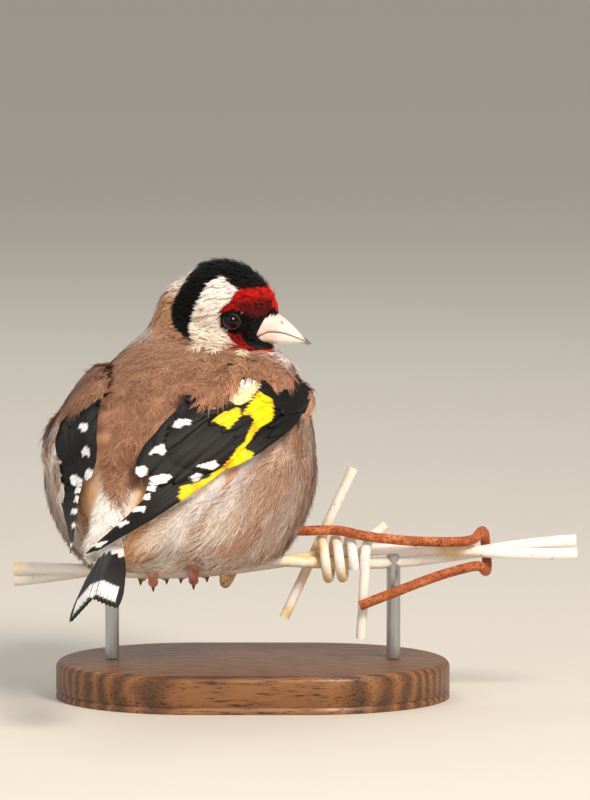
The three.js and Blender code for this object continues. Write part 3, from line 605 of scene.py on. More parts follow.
def waves(points, size, seed):
    # a smooth uneven value from -1 to 1, about this many millimetres from crest to crest
    rng = np.random.default_rng(seed)
    total = 0
    for _ in range(5):
        way = unit(rng.normal(size=3)) * 2 * math.pi / (size * rng.uniform(0.6, 1.5))
        total = total + np.sin(points @ way + rng.uniform(0, 6.3))
    return total / 2.6


def blend(a, b, share):
    return a + (b - a) * np.asarray(share)[..., None]


def twoTones(points, first, second, share):
    return blend(pigment(first) + 0 * points, pigment(second), share)


def paintBody(points):
    right, forward, up = -points[:, 0], -points[:, 1], points[:, 2]
    turnAbout = np.abs(np.degrees(np.arctan2(right, forward - 2)))
    ragged = waves(points, 9, 3) * 5
    colour = blend(tones["flank"], tones["lilac"], 0.7 * ease(waves(points, 8, 5), -0.2, 0.8))
    warm = ease(waves(points * [1, 1, 0.4], 6, 11), -0.1, 0.6)
    colour = blend(colour, tones["buff"], 0.75 * warm * ease(turnAbout, 40, 75))
    colour = blend(colour, tones["breast"], ease(55 - turnAbout + ragged, -10, 10))
    side = ease(turnAbout + ragged, 34, 50) * ease(112 - turnAbout + 2 * ragged, -14, 8) * ease(up, 4, 30)
    mottled = 0.7 + 0.3 * waves(points * [1, 1, 0.5], 4, 14)
    colour = blend(colour, tones["side"], side * np.clip(mottled, 0.2, 0.95))
    edge = np.interp(up, [8, 14, 18, 26, 30, 34, 38, 44, 50], [190, 178, 165, 146, 122, 100, 76, 58, 64])
    mantle = ease(turnAbout + ragged - edge - 12 * (right < -5), -5, 5)
    back = blend(tones["mantle"], tones["mantleDark"], 0.5 + 0.5 * waves(points, 5, 8))
    back = blend(back, tones["hindNeck"], ease(up, 40, 52))
    colour = blend(colour, back, mantle)
    lower = ease(21 - up, -1.5, 2.5) * ease(turnAbout, 140, 155)
    middle = between(middleLine, forward, 1)
    fromMiddle = np.abs(right - middle - 0.6) + 0.15 * ragged
    rumpTone = blend(tones["rump"], tones["rumpSide"], ease(fromMiddle, 2.4, 5.2))
    rumpTone = blend(rumpTone, tones["rump"], ease(np.abs(right - middle), 8, 12))
    colour = blend(colour, rumpTone, lower)
    throat = ease(up, 38, 44) * ease(62 - turnAbout, -8, 8)
    return blend(colour, tones["white"], 0.8 * throat)


def headShare(points):
    return ease(15.5 - np.linalg.norm(points - headMiddle, axis=-1), 0, 4)


def paintBird(points):
    local = toHead(points)
    x, y, z = local.T
    colour = paintBody(points)
    near = np.linalg.norm((points - headMiddle), axis=1) < 14.2
    on = {name: within(outline, x, z) & near for name, outline in headMarks.items()}
    backOfHead = (np.abs(y) < 2.6) & (x < -8.6) & (z < 5) & near
    nape = within(headMarks["nape"], x, z) | backOfHead
    behind = within(headMarks["shawl"], x, z) & (y < ease(-x, 2, 9) * 5)
    shawl = blend(tones["hindNeck"], tones["mantle"], ease(-z, 2, 9))
    colour = blend(colour, shawl, behind * ease(19 - np.linalg.norm(points - headMiddle, axis=1), 0, 4))
    colour = np.where(nape[:, None], blend(tones["hindNeck"], tones["nape"], ease(z, -1, 3)), colour)
    cheek = blend(tones["cheek"], tones["cheekWarm"], ease(2 - z, 0, 6) * (0.7 + 0.3 * waves(points, 4, 4)))
    colour = np.where(on["cheek"][:, None], cheek, colour)
    colour[on["hood"] & ~backOfHead] = tones["hood"]
    streak = ease(waves(points, 1.4, 6), 0.1, 0.9)
    deep = np.maximum(0.6 * streak, ease(3.2 - z + 0.25 * x, 0, 2.5) * 0.85) * (x < 9)
    colour = np.where(on["red"][:, None], blend(tones["red"], tones["darkRed"], deep), colour)
    colour[on["brow"]] = tones["red"] * 0.7
    moustache = blend(tones["red"], tones["darkRed"], 0.5 * streak + 0.42)
    colour = np.where(on["moustache"][:, None], moustache, colour)
    socket = (np.abs(y) > 4) & (np.hypot((x - eye["ahead"]) / 1.15, z - eye["up"]) < 2.4)
    colour[on["lores"] | socket] = tones["lores"]
    colour[on["chin"]] = tones["chin"]
    return colour


# The visible skin leaves a furrow for the perch under the belly
def makeSkin():
    points = hullPoints.copy()
    away = points @ backwards
    rise = points[:, 2] - (points @ across) * climb
    low = (np.abs(away) < coat["slotHalfWidth"]) & (rise < coat["slotTop"])
    points[low, 2] = coat["slotTop"] + (points[low] @ across) * climb
    skin = makeObject("skin", points, hullFaces, plumage, paintBird(hullPoints))
    asPiece(skin, "torso", "head", "neck", "torso", "rump", "thigh_right", "thigh_left")


makeSkin()

# The wing's sheet, from the wrist to the tip (u) and from its lower edge to its upper one (v)
lowerEdge = [(21.2, 8, 35.7), (26.3, -3, 31.6), (24.5, -14.7, 27), (18, -24, 21.3), (11, -33.5, 15.8),
             (6.2, -44.5, 12.2), (2.2, -57.5, 8.4)]
upperEdge = [(16, 1, 42), (13.5, -9, 40.5), (9, -19, 36), (6, -27, 30), (4, -33.5, 22.8), (4, -42.5, 17.2),
             (1.6, -58, 12)]


def edgeTable(points):
    p = np.asarray(points, float)
    full = np.vstack([2 * p[0] - p[1], p, 2 * p[-1] - p[-2]])
    u = np.linspace(-0.12, 1.1, 245)
    x = np.clip(u * (len(p) - 1), 0, len(p) - 1 - 1e-9)
    i = x.astype(int)
    t = (x - i)[:, None]
    a, b, c, d = [full[i + k] for k in range(4)]
    curve = 0.5 * (2 * b + (c - a) * t + (2 * a - 5 * b + 4 * c - d) * t * t
                   + (3 * b - a - 3 * c + d) * t ** 3)
    extra = (u * (len(p) - 1) - x)[:, None]
    curve += np.where(extra > 0, extra * (p[-1] - p[-2]), extra * (p[1] - p[0]))
    return u, curve


edges = {"lower": edgeTable(lowerEdge), "upper": edgeTable(upperEdge)}


def edgeAt(which, u):
    table, curve = edges[which]
    return np.stack([np.interp(u, table, curve[:, k]) for k in range(3)], -1)


def wingPlace(u, v):
    u, v = np.broadcast_arrays(np.asarray(u, float), np.asarray(v, float))
    p = edgeAt("lower", u) * (1 - v)[..., None] + edgeAt("upper", u) * v[..., None]
    right, forward, up = p[..., 0], p[..., 1], p[..., 2]
    half, widest = between(bodySlices, up, 1), between(bodySlices, up, 4)
    front, back = between(bodySlices, up, 2), between(bodySlices, up, 3)
    reach = np.where(forward > widest, front - widest, widest - back)
    inside = np.hypot(right / half, (forward - widest) / reach)
    scale = np.where(inside < 1, 1 / np.maximum(inside, 1e-6), 1)
    return np.stack([right * scale, widest + (forward - widest) * scale, up], -1)


# The left wing lies flatter and closer to the body than the right one
leftWing = dict(flatter=0.6, closer=1.4)


def wingSurface(u, v, lift, side):
    # a place above the sheet, settled on the bird; side is 1 for the right wing and -1 for the left one
    step = 0.012
    along = wingPlace(u + step, v) - wingPlace(u - step, v)
    over = wingPlace(u, v + step) - wingPlace(u, v - step)
    height = np.asarray(lift) if side > 0 else leftWing["flatter"] * np.asarray(lift) - leftWing["closer"]
    p = wingPlace(u, v) + unit(np.cross(over, along)) * height[..., None]
    return settle(side * p[..., 0], p[..., 1], p[..., 2])


span = lambda u: np.linalg.norm(edgeAt("lower", u) - edgeAt("upper", u), axis=-1)
quill = lambda t: 0.5 + 0.5 * np.minimum(1, 4 * t) - 0.86 * t ** 6
roundTip = lambda t: 0.5 + 0.5 * np.minimum(1, 3 * t) - 0.8 * t ** 7

# Feather rows of the wing from the lowest layer up: places of the roots and tips (u, v), width and lift
wingRows = [
    dict(name="primaries", roots=[(0.36, 0.1), (0.4, 0.5)], width=3.4, lifts=(0.3, 1.1), shape=quill,
         tips=[(1, 0.02), (0.955, 0.1), (0.86, 0.18), (0.765, 0.24), (0.71, 0.36), (0.675, 0.45)]),
    dict(name="secondaries", roots=[(0.28, 0.16), (0.3, 0.5)], width=4, lifts=(1.2, 1.7), shape=quill,
         tips=[(0.49, 0.16), (0.545, 0.16), (0.59, 0.24), (0.63, 0.36)]),
    dict(name="tertials", roots=[(0.24, 0.6), (0.2, 0.86)], width=6.2, lifts=(1.7, 2.5), shape=roundTip,
         tips=[(0.64, 0.54), (0.67, 0.83), (0.565, 0.8), (0.435, 0.8)]),
    dict(name="primaryCoverts", roots=[(0.06, 0.06), (0.08, 0.24)], width=3, lifts=(1.1, 1.6),
         shape=roundTip,
         tips=[(0.45, 0), (0.42, 0.08), (0.4, 0.16), (0.38, 0.24)]),
    dict(name="greaterCoverts", roots=[(0.08, 0.28), (0.08, 0.92)], width=4.2, lifts=(1.8, 2.8),
         shape=roundTip,
         tips=[(0.36, 0.3), (0.37, 0.43), (0.37, 0.57), (0.36, 0.7), (0.35, 0.83), (0.34, 0.96)]),
    dict(name="alula", roots=[(0.03, 0.06), (0.03, 0.12)], width=3, lifts=(1.7, 2), shape=roundTip,
         tips=[(0.3, 0.02), (0.27, 0.12)]),
    dict(name="medianCoverts", roots=[(0.01, 0.2), (0.02, 0.9)], width=4.6, lifts=(2.4, 3.2),
         shape=roundTip,
         tips=[(0.2, 0.2), (0.2, 0.34), (0.2, 0.48), (0.2, 0.62), (0.2, 0.76), (0.2, 0.9)])]
# Outlines of the wing's marks by place on its sheet (u, v)
wingMarks = dict(
    yellow=[
        [(0.355, 0.58), (0.32, 0.59), (0.265, 0.57), (0.285, 0.46), (0.335, 0.42), (0.355, 0.4),
         (0.345, 0.47)],
        [(0.285, 0.46), (0.235, 0.53), (0.18, 0.6), (0.18, 0.42), (0.215, 0.27), (0.245, 0.21), (0.28, 0.23),
         (0.32, 0.19), (0.37, 0.09), (0.38, -0.3), (0.62, -0.3), (0.6, 0.03), (0.575, 0.14), (0.55, 0.06),
         (0.51, 0.03), (0.44, 0.09), (0.385, 0.17), (0.355, 0.18), (0.325, 0.25), (0.275, 0.34),
         (0.27, 0.41)]],
    pale=[[(0.255, 0.71), (0.215, 0.79), (0.145, 0.81), (0.15, 0.66), (0.225, 0.56), (0.26, 0.56),
           (0.265, 0.64)]],
    white=[
        [(0.44, 0.82), (0.41, 0.82), (0.39, 0.73), (0.4, 0.7), (0.44, 0.76)],
        [(0.585, 0.88), (0.54, 0.85), (0.51, 0.78), (0.52, 0.66), (0.545, 0.68), (0.555, 0.8)],
        [(0.72, 1.08), (0.65, 0.95), (0.615, 0.79), (0.625, 0.7), (0.65, 0.69), (0.68, 0.84)],
        [(0.67, 0.76), (0.62, 0.55), (0.585, 0.45), (0.58, 0.34), (0.61, 0.32), (0.645, 0.46)],
        [(0.5, 0.29), (0.475, 0.24), (0.452, 0.21), (0.455, 0.13), (0.478, 0.12), (0.488, 0.2)],
        [(0.545, 0.17), (0.52, 0.16), (0.512, 0.09), (0.542, 0.06)],
        [(0.725, 0.59), (0.672, 0.38), (0.69, 0.26), (0.725, 0.46)],
        [(0.775, 0.5), (0.718, 0.2), (0.735, 0.11), (0.775, 0.28)],
        [(0.87, 0.45), (0.825, 0.28), (0.812, 0.1), (0.85, 0.15)],
        [(0.975, 0.32), (0.91, -0.02), (0.95, -0.07)],
        [(1.02, 0.12), (0.96, -0.12), (1.0, -0.16)],
        [(0.675, 0.62), (0.635, 0.4), (0.655, 0.34), (0.68, 0.5)]],
    mantle=[[(-0.2, 1.4), (0.31, 1.4), (0.315, 0.93), (0.33, 0.7), (0.3, 0.65), (0.27, 0.7), (0.22, 0.82),
             (0.14, 0.84), (0.12, 0.66), (0.15, 0.45), (0.1, 0.48), (0.04, 0.58), (-0.2, 0.7)]])
wingTones = pigments(black="#050407", brown="#1C1512", yellow="#FFDF00", deepYellow="#F5C200", pale="#F8EDA6",
                     white="#F4F0F0")


def paintWing(u, v, along, sideways, row):
    # colour by place on the wing, after the outlines of its marks
    shape = u.shape
    colour = blend(np.broadcast_to(wingTones["black"], (*shape, 3)), wingTones["brown"],
                   0.5 * ease(np.abs(sideways), 0.75, 1.0) * ease(along, 0.5, 1))
    on = {name: sum(within(outline, u.ravel(), v.ravel()) for outline in marks).reshape(shape) > 0
          for name, marks in wingMarks.items()}
    uneven = ease(np.sin(60 * u + 9 * v), 0.2, 1)
    yellow = blend(wingTones["yellow"] + 0 * colour, wingTones["deepYellow"], uneven)
    # on the left wing the bar lies hidden under the shoulder
    shown = on["yellow"] & ((u > 0.42) | (row["side"] > 0))
    colour = np.where(shown[..., None], yellow, colour)
    pale = blend(wingTones["pale"], wingTones["white"], ease(v, 0.6, 0.8))
    colour = np.where(on["pale"][..., None], pale, colour)
    shaft = ease(0.1 - np.abs(sideways), 0, 0.08) * 0.5
    colour = blend(colour, colour * 0.45, shaft * ease(along, 0.05, 0.2))
    colour = np.where(on["white"][..., None], wingTones["white"], colour)
    covert = "Coverts" in row["name"]
    return np.where((on["mantle"] & covert)[..., None], tones["mantle"], colour)


# A flight feather's rows and columns, its thickness, and how many mm of barb pattern the whole sheet holds
flight = dict(rows=56, columns=10, thick=0.28, reach=78)


def vane(surface, paint, scale, row, root, tip, width, lift, shape):
    # one feather on a sheet: domed a little, thin at its edges, closed all round
    rows, columns = flight["rows"], flight["columns"]
    t = np.linspace(0, 1, rows + 1)[:, None]
    s = np.linspace(-1, 1, columns + 1)[None, :]
    u = root[0] + (tip[0] - root[0]) * t + 0 * s
    middle = root[1] + (tip[1] - root[1]) * t
    half = width * np.maximum(shape(t), 0.04) / 2 / scale(u[:, :1])
    v = middle + half * s * (1 + 0.012 * np.sin(37 * t + 9 * root[1]))
    dome = 0.3 * (1 - s * s) * ease(t, 0, 0.2)
    fat = flight["thick"] * (1 - 0.6 * np.abs(s) ** 3) * (1 - 0.6 * ease(t, 0.8, 1))
    top = surface(u, v, lift + dome + fat)
    under = surface(u, v, lift + dome * 0.6)
    colour = paint(u, v, t + 0 * s, s + 0 * t, row)
    long = (tip[0] - root[0]) * flight["reach"]
    uv = np.stack([half * scale(u[:, :1]) * s, t * long + 0 * s], -1)
    points = np.concatenate([top.reshape(-1, 3), under.reshape(-1, 3)])
    wide = columns + 1
    i, j = np.meshgrid(np.arange(rows), np.arange(columns), indexing="ij")
    a = (i * wide + j).ravel()
    quads = np.stack([a, a + 1, a + wide + 1, a + wide], -1)
    rim = np.concatenate([np.arange(columns), np.arange(rows) * wide + columns,
                          rows * wide + np.arange(columns, 0, -1), np.arange(rows, 0, -1) * wide])
    after = np.roll(rim, -1)
    count = len(top.reshape(-1, 3))
    edge = np.stack([rim, rim + count, after + count, after], -1)
    faces = np.concatenate([quads[:, ::-1], quads + count, edge[:, ::-1]])
    centre = points[quads[0]]
    normal = np.cross(centre[1] - centre[0], centre[3] - centre[0])
    if normal @ (top.reshape(-1, 3)[0] - under.reshape(-1, 3)[0]) > 0:
        faces = faces[:, ::-1]
    return points, faces, np.tile(colour.reshape(-1, 3), (2, 1)), np.tile(uv.reshape(-1, 2), (2, 1))


def vaneObject(name, vanes):
    start, groups = 0, [[], [], [], []]
    for parts in vanes:
        for store, value in zip(groups, parts):
            store.append(value + start if value is parts[1] else value)
        start += len(parts[0])
    points, faces, paint, uv = [np.concatenate(g) for g in groups]
    return makeObject(name, points, faces, vaneFinish, paint, {"Vane": uv})


def mixed(ends, share):
    return tuple(a + (b - a) * share for a, b in zip(*ends))


# The right wing's coverts and the whole left wing, over which the body's feathers near them lie
wingSolids = []
for sideName, side in (("right", 1), ("left", -1)):
    vanes = []
    surface = lambda u, v, lift: wingSurface(u, v, lift, side)
    for row in [dict(row, side=side) for row in wingRows]:
        last = len(row["tips"]) - 1
        for i, tip in enumerate(row["tips"]):
            share = i / last
            low, high = row["lifts"]
            vanes.append(vane(surface, paintWing, span, row, mixed(row["roots"], share), tip, row["width"],
                              low + share * (high - low), row["shape"]))
    later = sum(len(row["tips"]) for row in wingRows[:3]) if side > 0 else 0
    wingSolids += [(parts[0], parts[1]) for parts in vanes[later:]]
    asPiece(vaneObject(f"wing_{sideName}_feathers", vanes), f"wing_{sideName}", f"wing_{sideName}")
print("wings made")

# The tail: six pairs of feathers, its own frame back along it, to its right, and up
tail = dict(length=46, roll=18, root=(-3, -31, 10), tip=(8.5, -73, -0.8), pairs=6, fork=3.2, width=3.1,
            rootShare=0.22)
tailBack = unit(bird(*tail["tip"]) - bird(*tail["root"]))
tailLevel = unit(np.cross([0, 0, 1], tailBack))
tailOver = np.cross(tailBack, tailLevel)
tailRight = tailLevel * math.cos(tail["roll"] * degrees) + tailOver * math.sin(tail["roll"] * degrees)
tailAxes = np.array([tailBack, tailRight, np.cross(tailBack, tailRight)])


def onTail(back, side, up):
    return bird(*tail["root"]) + places3(back, side, up) @ tailAxes


def tailSurface(u, v, lift):
    return onTail(u * tail["length"], v, -0.02 * v * v + lift)


tailTones = pigments(black="#060508", white="#F4F0EE", brown="#1E1613")


def paintTail(u, v, along, sideways, row):
    # white before the black tip, but not on the outer vane of the outermost feather
    colour = np.broadcast_to(tailTones["black"], (*u.shape, 3))
    inner = ease(along, 0.68, 0.72) * ease(0.95 - along, 0, 0.03)
    edge = (row["place"] == tail["pairs"] - 1) & (sideways * row["side"] > 0.1)
    colour = blend(colour, tailTones["white"], inner * ~edge)
    # the white coverts over and under the tail's root end in points
    coverts = ease(0.19 + 0.035 * np.sin(5 * v) - along, 0, 0.02)
    colour = blend(colour, tailTones["white"], coverts)
    dark = ease(0.11 - np.abs(sideways), 0, 0.05) * ease(0.97 - along, 0, 0.03) * (1 - coverts)
    return blend(colour, tailTones["brown"], 0.8 * dark)


vanes = []
for side in (1, -1):
    for place in range(tail["pairs"]):
        short = tail["fork"] * (1 - place / (tail["pairs"] - 1)) ** 1.5
        root = (tail["rootShare"], side * (0.4 + 0.3 * place))
        tip = (1 - short / tail["length"], side * (0.8 + 0.82 * place))
        lift = 0.95 - 0.27 * place + 0.06 * side
        vanes.append(vane(tailSurface, paintTail, np.ones_like, dict(place=place, side=side), root, tip,
                          tail["width"], lift, roundTip))
asPiece(vaneObject("tail_feathers", vanes), "tail", "tail")
print("tail made")

# What lies outermost at a place: feathers that cross the wings ride over them
solids = [(hullPoints, hullFaces), *wingSolids]
offset, allPoints, allFaces = 0, [], []
for points, faces in solids:
    allPoints.append(points)
    allFaces += (faces + offset).tolist()
    offset += len(points)
outermost = BVHTree.FromPolygons(np.vstack(allPoints).tolist(), allFaces)
sheetPlaces = []
for side in (1, -1):
    grid = np.stack(np.meshgrid(np.linspace(-0.06, 1, 60), np.linspace(-0.1, 1.15, 30), indexing="ij"), -1)
    grid = grid.reshape(-1, 2)
    for p, uv in zip(wingSurface(grid[:, 0], grid[:, 1], 0 * grid[:, 0], side), grid):
        sheetPlaces.append((p, (*uv, side)))
sheetTree = KDTree(len(sheetPlaces))
for i, (p, _) in enumerate(sheetPlaces):
    sheetTree.insert(p, i)
sheetTree.balance()

# The lie of the feathers: back from the bill on the head, and down and back to the tail on the body
tailAim = bird(-3, -50, 3)
billBack = -ahead + np.array([0, 0, -0.45])


def lie(points, normals):
    share = headShare(points)[:, None]
    body = unit(tailAim - points) + np.array([0, 0, -0.55])
    way = unit(body) * (1 - share) + unit(billBack) * share
    way = way - normals * np.einsum("ij,ij->i", way, normals)[:, None]
    return unit(way)


# Laying the coat: spacing of the roots, how far on from a root a wing's cover is tested, the share of that
# way where its colour is read, how near a wing's sheet counts, how a feather passes over what lies above the
# skin, the low part of the rump where feathers stay under the wings' tips instead, and the most triangles of
# a piece
plume = dict(spacing=1.3, headSpacing=0.82, end=7, farEnd=11, colourAt=0.35, nearSheet=4.2, search=8,
             covered=0.7, clear=0.15, slope=0.9, above=0.75, rumpTop=22, rumpHalf=14, pieceLimit=180000)


def scatter(spacing, keep, tries=3.5):
    # roots spread evenly over the hull, no two closer than the spacing
    corner = hullPoints[hullFaces]
    cross = np.cross(corner[:, 1] - corner[:, 0], corner[:, 2] - corner[:, 0])
    area = np.linalg.norm(cross, axis=1) / 2
    centre = corner.mean(1)
    area = np.where(keep(centre), area, 0)
    count = int(area.sum() / spacing ** 2 * tries)
    face = draw.choice(len(area), count, p=area / area.sum())
    a, b = draw.random((2, count))
    flip = a + b > 1
    a, b = np.where(flip, 1 - a, a), np.where(flip, 1 - b, b)
    spots = corner[face, 0] + a[:, None] * (corner[face, 1] - corner[face, 0]) \
        + b[:, None] * (corner[face, 2] - corner[face, 0])
    normals = unit(cross[face])
    taken, kept = {}, []
    for i, spot in enumerate(spots):
        cell = tuple((spot // spacing).astype(int))
        near = [taken[key] for dx in (-1, 0, 1) for dy in (-1, 0, 1) for dz in (-1, 0, 1)
                for key in [(cell[0] + dx, cell[1] + dy, cell[2] + dz)] if key in taken]
        if all(((spots[k] - spot) ** 2).sum() > spacing ** 2 for k in near):
            taken[cell] = i
            kept.append(i)
    return spots[kept], normals[kept]


def layPaths(roots, normals, lengths, lifts, droop, sway, steps=5):
    # follows the skin from each root along the lie, and lifts the path over whatever lies above the skin
    count = len(roots)
    places = np.empty((count, steps + 1, 3))
    outward = np.empty_like(places)
    places[:, 0], outward[:, 0] = roots, normals
    twist = draw.normal(0, sway, count)[:, None]
    here, normal = roots.copy(), normals.copy()
    for k in range(1, steps + 1):
        way = lie(here, normal)
        way = unit(way + twist * np.cross(normal, way) + [0, 0, -droop * k / steps])
        target = here + way * (lengths / steps)[:, None]
        for i in range(count):
            spot, found, _, _ = hull.find_nearest(target[i])
            here[i] = spot
            normal[i] = found
        places[:, k], outward[:, k] = here, normal
    outward = unit(outward + np.roll(outward, 1, axis=1) * (np.arange(steps + 1) > 0)[None, :, None])
    t = np.linspace(0, 1, steps + 1)[None, :]
    height = lifts[:, :1] + (lifts[:, 1:] - lifts[:, :1]) * t ** 0.85
    covered = np.zeros((count, steps + 1))
    for i in range(count):
        for k in range(steps + 1):
            start = places[i, k] + outward[i, k] * plume["search"]
            hit = outermost.ray_cast(start, -outward[i, k], plume["search"] + 1)
            if hit[0] is not None:
                covered[i, k] = max(plume["search"] - hit[3], 0)
    covered[(roots[:, 2] < plume["rumpTop"]) & (np.abs(roots[:, 0]) < plume["rumpHalf"])] = 0
    over = np.where(covered > plume["covered"], covered + plume["clear"], 0)
    for _ in range(2):
        over[:, 1:-1] = np.maximum(over[:, 1:-1], np.maximum(over[:, 2:], over[:, :-2]) - plume["slope"])
        over[:, 0] = np.maximum(over[:, 0], over[:, 1] - plume["slope"])
        over[:, -1] = np.maximum(over[:, -1], over[:, -2] - plume["slope"])
    height = np.maximum(height, over + plume["above"] * height * (over > 0))
    return clearOfPerch(places + outward * height[..., None]), outward


def alongPath(places, outward, t):
    # places, outward and forward directions at shares t of each path, with any number of shares per feather
    steps = places.shape[1] - 1
    x = t * steps
    i = np.clip(np.floor(x).astype(int), 0, steps - 1)
    f = (x - i)[..., None]
    rows = np.arange(len(places)).reshape((-1,) + (1,) * (t.ndim - 1))
    a, b = places[rows, i], places[rows, i + 1]
    n = unit(outward[rows, i] * (1 - np.clip(f, 0, 1)) + outward[rows, i + 1] * np.clip(f, 0, 1))
    return a + (b - a) * f, n, unit(b - a)


def featherMeshes(places, outward, widths, paint, style):
    # each feather is a thin leaf with soft barbs over it and past its edges
    count = len(places)
    leafRows, barbs = style["leafRows"], style["barbs"]
    points, colours, local = [], [], []
    paths = np.linspace(0, 1, leafRows + 1)
    outline = np.interp(paths, [0, 0.3, 0.7, 0.9, 1], [0.35, 0.9, 1, 0.75, 0.3])
    t = np.broadcast_to(paths[None, :, None] * 0.93, (count, leafRows + 1, 3))
    s = np.broadcast_to(np.array([-1, 0, 1])[None, None, :], t.shape) * outline[None, :, None]
    p, n, d = alongPath(places, outward, t)
    p = p + np.cross(n, d) * (s * widths[:, None, None] * 0.36)[..., None]
    p = p - n * (0.14 + 0.16 * np.abs(s))[..., None]
    tone = np.interp(t, [0, 0.5, 1], style["leafTone"])
    points.append(p.reshape(count, -1, 3))
    colours.append(paint[:, None, :] * tone.reshape(count, -1, 1))
    local.append(np.stack([s, t], -1).reshape(count, -1, 2))
    i, j = np.meshgrid(np.arange(leafRows), np.arange(2), indexing="ij")
    a = (i * 3 + j).ravel()
    quads = np.stack([a, a + 1, a + 4, a + 3], -1)
    leafCount = 3 * (leafRows + 1)
    # barbs leave the shaft on either side in turn, sweep forward and end past the leaf's edge
    hand = np.where(np.arange(barbs) % 2, 1, -1)[None, :]
    start = draw.uniform(*style["startRange"], (count, barbs))
    wide = np.interp(start, [0, 0.3, 0.75, 1], [0.7, 1, 0.95, 0.5])
    reach = hand * wide * draw.uniform(0.25, style["spread"], (count, barbs))
    run = draw.uniform(*style["run"], (count, barbs))
    q = np.linspace(0, 1, 4)[None, None, :]
    bt = start[..., None] + run[..., None] * q
    bs = reach[..., None] * q ** 0.75
    p, n, d = alongPath(places, outward, np.clip(bt, 0, 1.25))
    p = p + np.cross(n, d) * (bs * widths[:, None, None] / 2)[..., None]
    rise = draw.uniform(*style["rise"], (count, barbs))[..., None]
    p = p + n * (rise * q + 0.03 * np.abs(bs))[..., None]
    bend = draw.normal(0, style["curl"], (count, barbs, 1)) * q * q
    p = p + np.cross(n, d) * bend[..., None]
    way = unit(np.gradient(p, axis=2))
    sideWay = unit(np.cross(n, way))
    half = style["barbWidth"] / 2 * np.array([0.8, 1, 0.8])
    left = p[:, :, :3] - sideWay[:, :, :3] * half[None, None, :, None]
    right = p[:, :, :3] + sideWay[:, :, :3] * half[None, None, :, None]
    blade = np.concatenate([np.stack([left, right], 3).reshape(count, barbs, 6, 3), p[:, :, 3:]], 2)
    points.append(blade.reshape(count, -1, 3))
    vary = np.clip(draw.normal(1, style["vary"], (count, barbs, 1)), 0.6, 1.5)
    bs, bt = [np.concatenate([np.repeat(v[..., :3], 2, -1), v[..., 3:]], -1) for v in (bs, bt)]
    tone = np.interp(bt, [0, 0.5, 1.1], style["barbTone"]) * vary
    colours.append(paint[:, None, :] * tone.reshape(count, -1, 1))
    local.append(np.stack([bs, bt], -1).reshape(count, -1, 2))
    points = clearOfPerch(np.concatenate(points, 1), -0.6)
    each = points.shape[1]
    colours = np.concatenate(colours, 1)
    if style["exact"]:
        # markings with sharp borders are painted where each barb lies
        spots = points * 0.75 + places[:, :1] * 0.25
        bright = colours.sum(-1, keepdims=True) / paint.sum(-1)[:, None, None]
        colours = paintBird(spots.reshape(-1, 3)).reshape(points.shape) * bright
    b = leafCount + 7 * np.arange(barbs)[:, None]
    bladeQuads = np.concatenate([b + [0, 1, 3, 2], b + [2, 3, 5, 4]])
    bladeTips = b + [4, 5, 6]
    start = (each * np.arange(count))[:, None, None]
    allQuads = (np.concatenate([quads, bladeQuads])[None] + start).reshape(-1, 4)
    tips = (bladeTips[None] + start).reshape(-1, 3)
    return points.reshape(-1, 3), [allQuads, tips], colours.reshape(-1, 3), np.concatenate(local, 1)


def skinUnwrap(points):
    # a globe of the head above one of the body
    local = toHead(points)
    onHeadNow = headShare(points) > 0.5
    centre = bird(0, -4, 22)
    swapped = local @ np.array([[0, 0, 1], [0, 1, 0], [1, 0, 0]])
    ball = np.where(onHeadNow[:, None], swapped, points - centre)
    azimuth = np.arctan2(ball[:, 0], ball[:, 1]) / (2 * math.pi) + 0.5
    high = unit(ball)[:, 2] / 2 + 0.5
    low = np.where(onHeadNow, 0.7, 0.01)
    tall = np.where(onHeadNow, 0.28, 0.67)
    return np.stack([0.01 + 0.98 * azimuth, low + tall * high], -1)


def coatPieces(name, roots, normals, lengths, widths, lifts, paint, style, droop=0.0, sway=0.14):
    # lays the feathers, in as many pieces as the limit asks for, and returns the sum of their triangles
    places, outward = layPaths(roots, normals, lengths, lifts, droop, sway)
    each = 4 * style["leafRows"] + 5 * style["barbs"]
    most = plume["pieceLimit"] // each
    corner = skinUnwrap(roots)
    for part, first in enumerate(range(0, len(roots), most)):
        rows = slice(first, first + most)
        points, faces, colours, local = featherMeshes(places[rows], outward[rows], widths[rows], paint[rows],
                                                      style)
        # each feather has its own small patch of the map
        uv = corner[rows][:, None, :] + 0.0014 * np.clip(local * [0.6, 1] - [0, 0.5], -1, 1)
        piece = makeObject(f"{name}_{part + 1}", points, faces, plumage, np.clip(colours, 0, 1),
                           {"OFBake": uv.reshape(-1, 2)})
        asPiece(piece, "torso")
    print(name, len(roots), "feathers")
    return each * len(roots)


# Kinds of body feather: rows of the leaf, barbs, tones from root to tip, and how the barbs leave the shaft
softStyle = dict(leafRows=4, barbs=40, leafTone=(0.7, 0.92, 1.0), barbTone=(0.75, 1.0, 1.08),
                 startRange=(0.1, 0.9), spread=1.3, run=(0.25, 0.5), rise=(0.0, 0.16), curl=0.16,
                 barbWidth=0.13, vary=0.1, exact=False)
wispStyle = dict(softStyle, barbs=34, startRange=(0.1, 0.85), run=(0.3, 0.6), rise=(0.1, 0.8), curl=0.4,
                 barbWidth=0.15, vary=0.12)
headStyle = dict(softStyle, leafRows=3, barbs=11, startRange=(0.1, 0.8), run=(0.3, 0.55), spread=1.0,
                 curl=0.06, barbWidth=0.12, vary=0.12, exact=True)

# Bill places, needed to keep feathers off the horn: distance ahead, half width, culmen, mouth line, underside
billSlices = [(5.5, 3.7, 2, -4.9, -6.6), (7.5, 3.7, 1.8, -4.6, -6.4), (9.4, 3.3, 1.4, -3.3, -6.1),
              (12.5, 2.45, 0.1, -2.9, -5.4), (15, 1.6, -1.4, -3.2, -4.8), (17.3, 0.75, -2.9, -3.7, -4.3)]


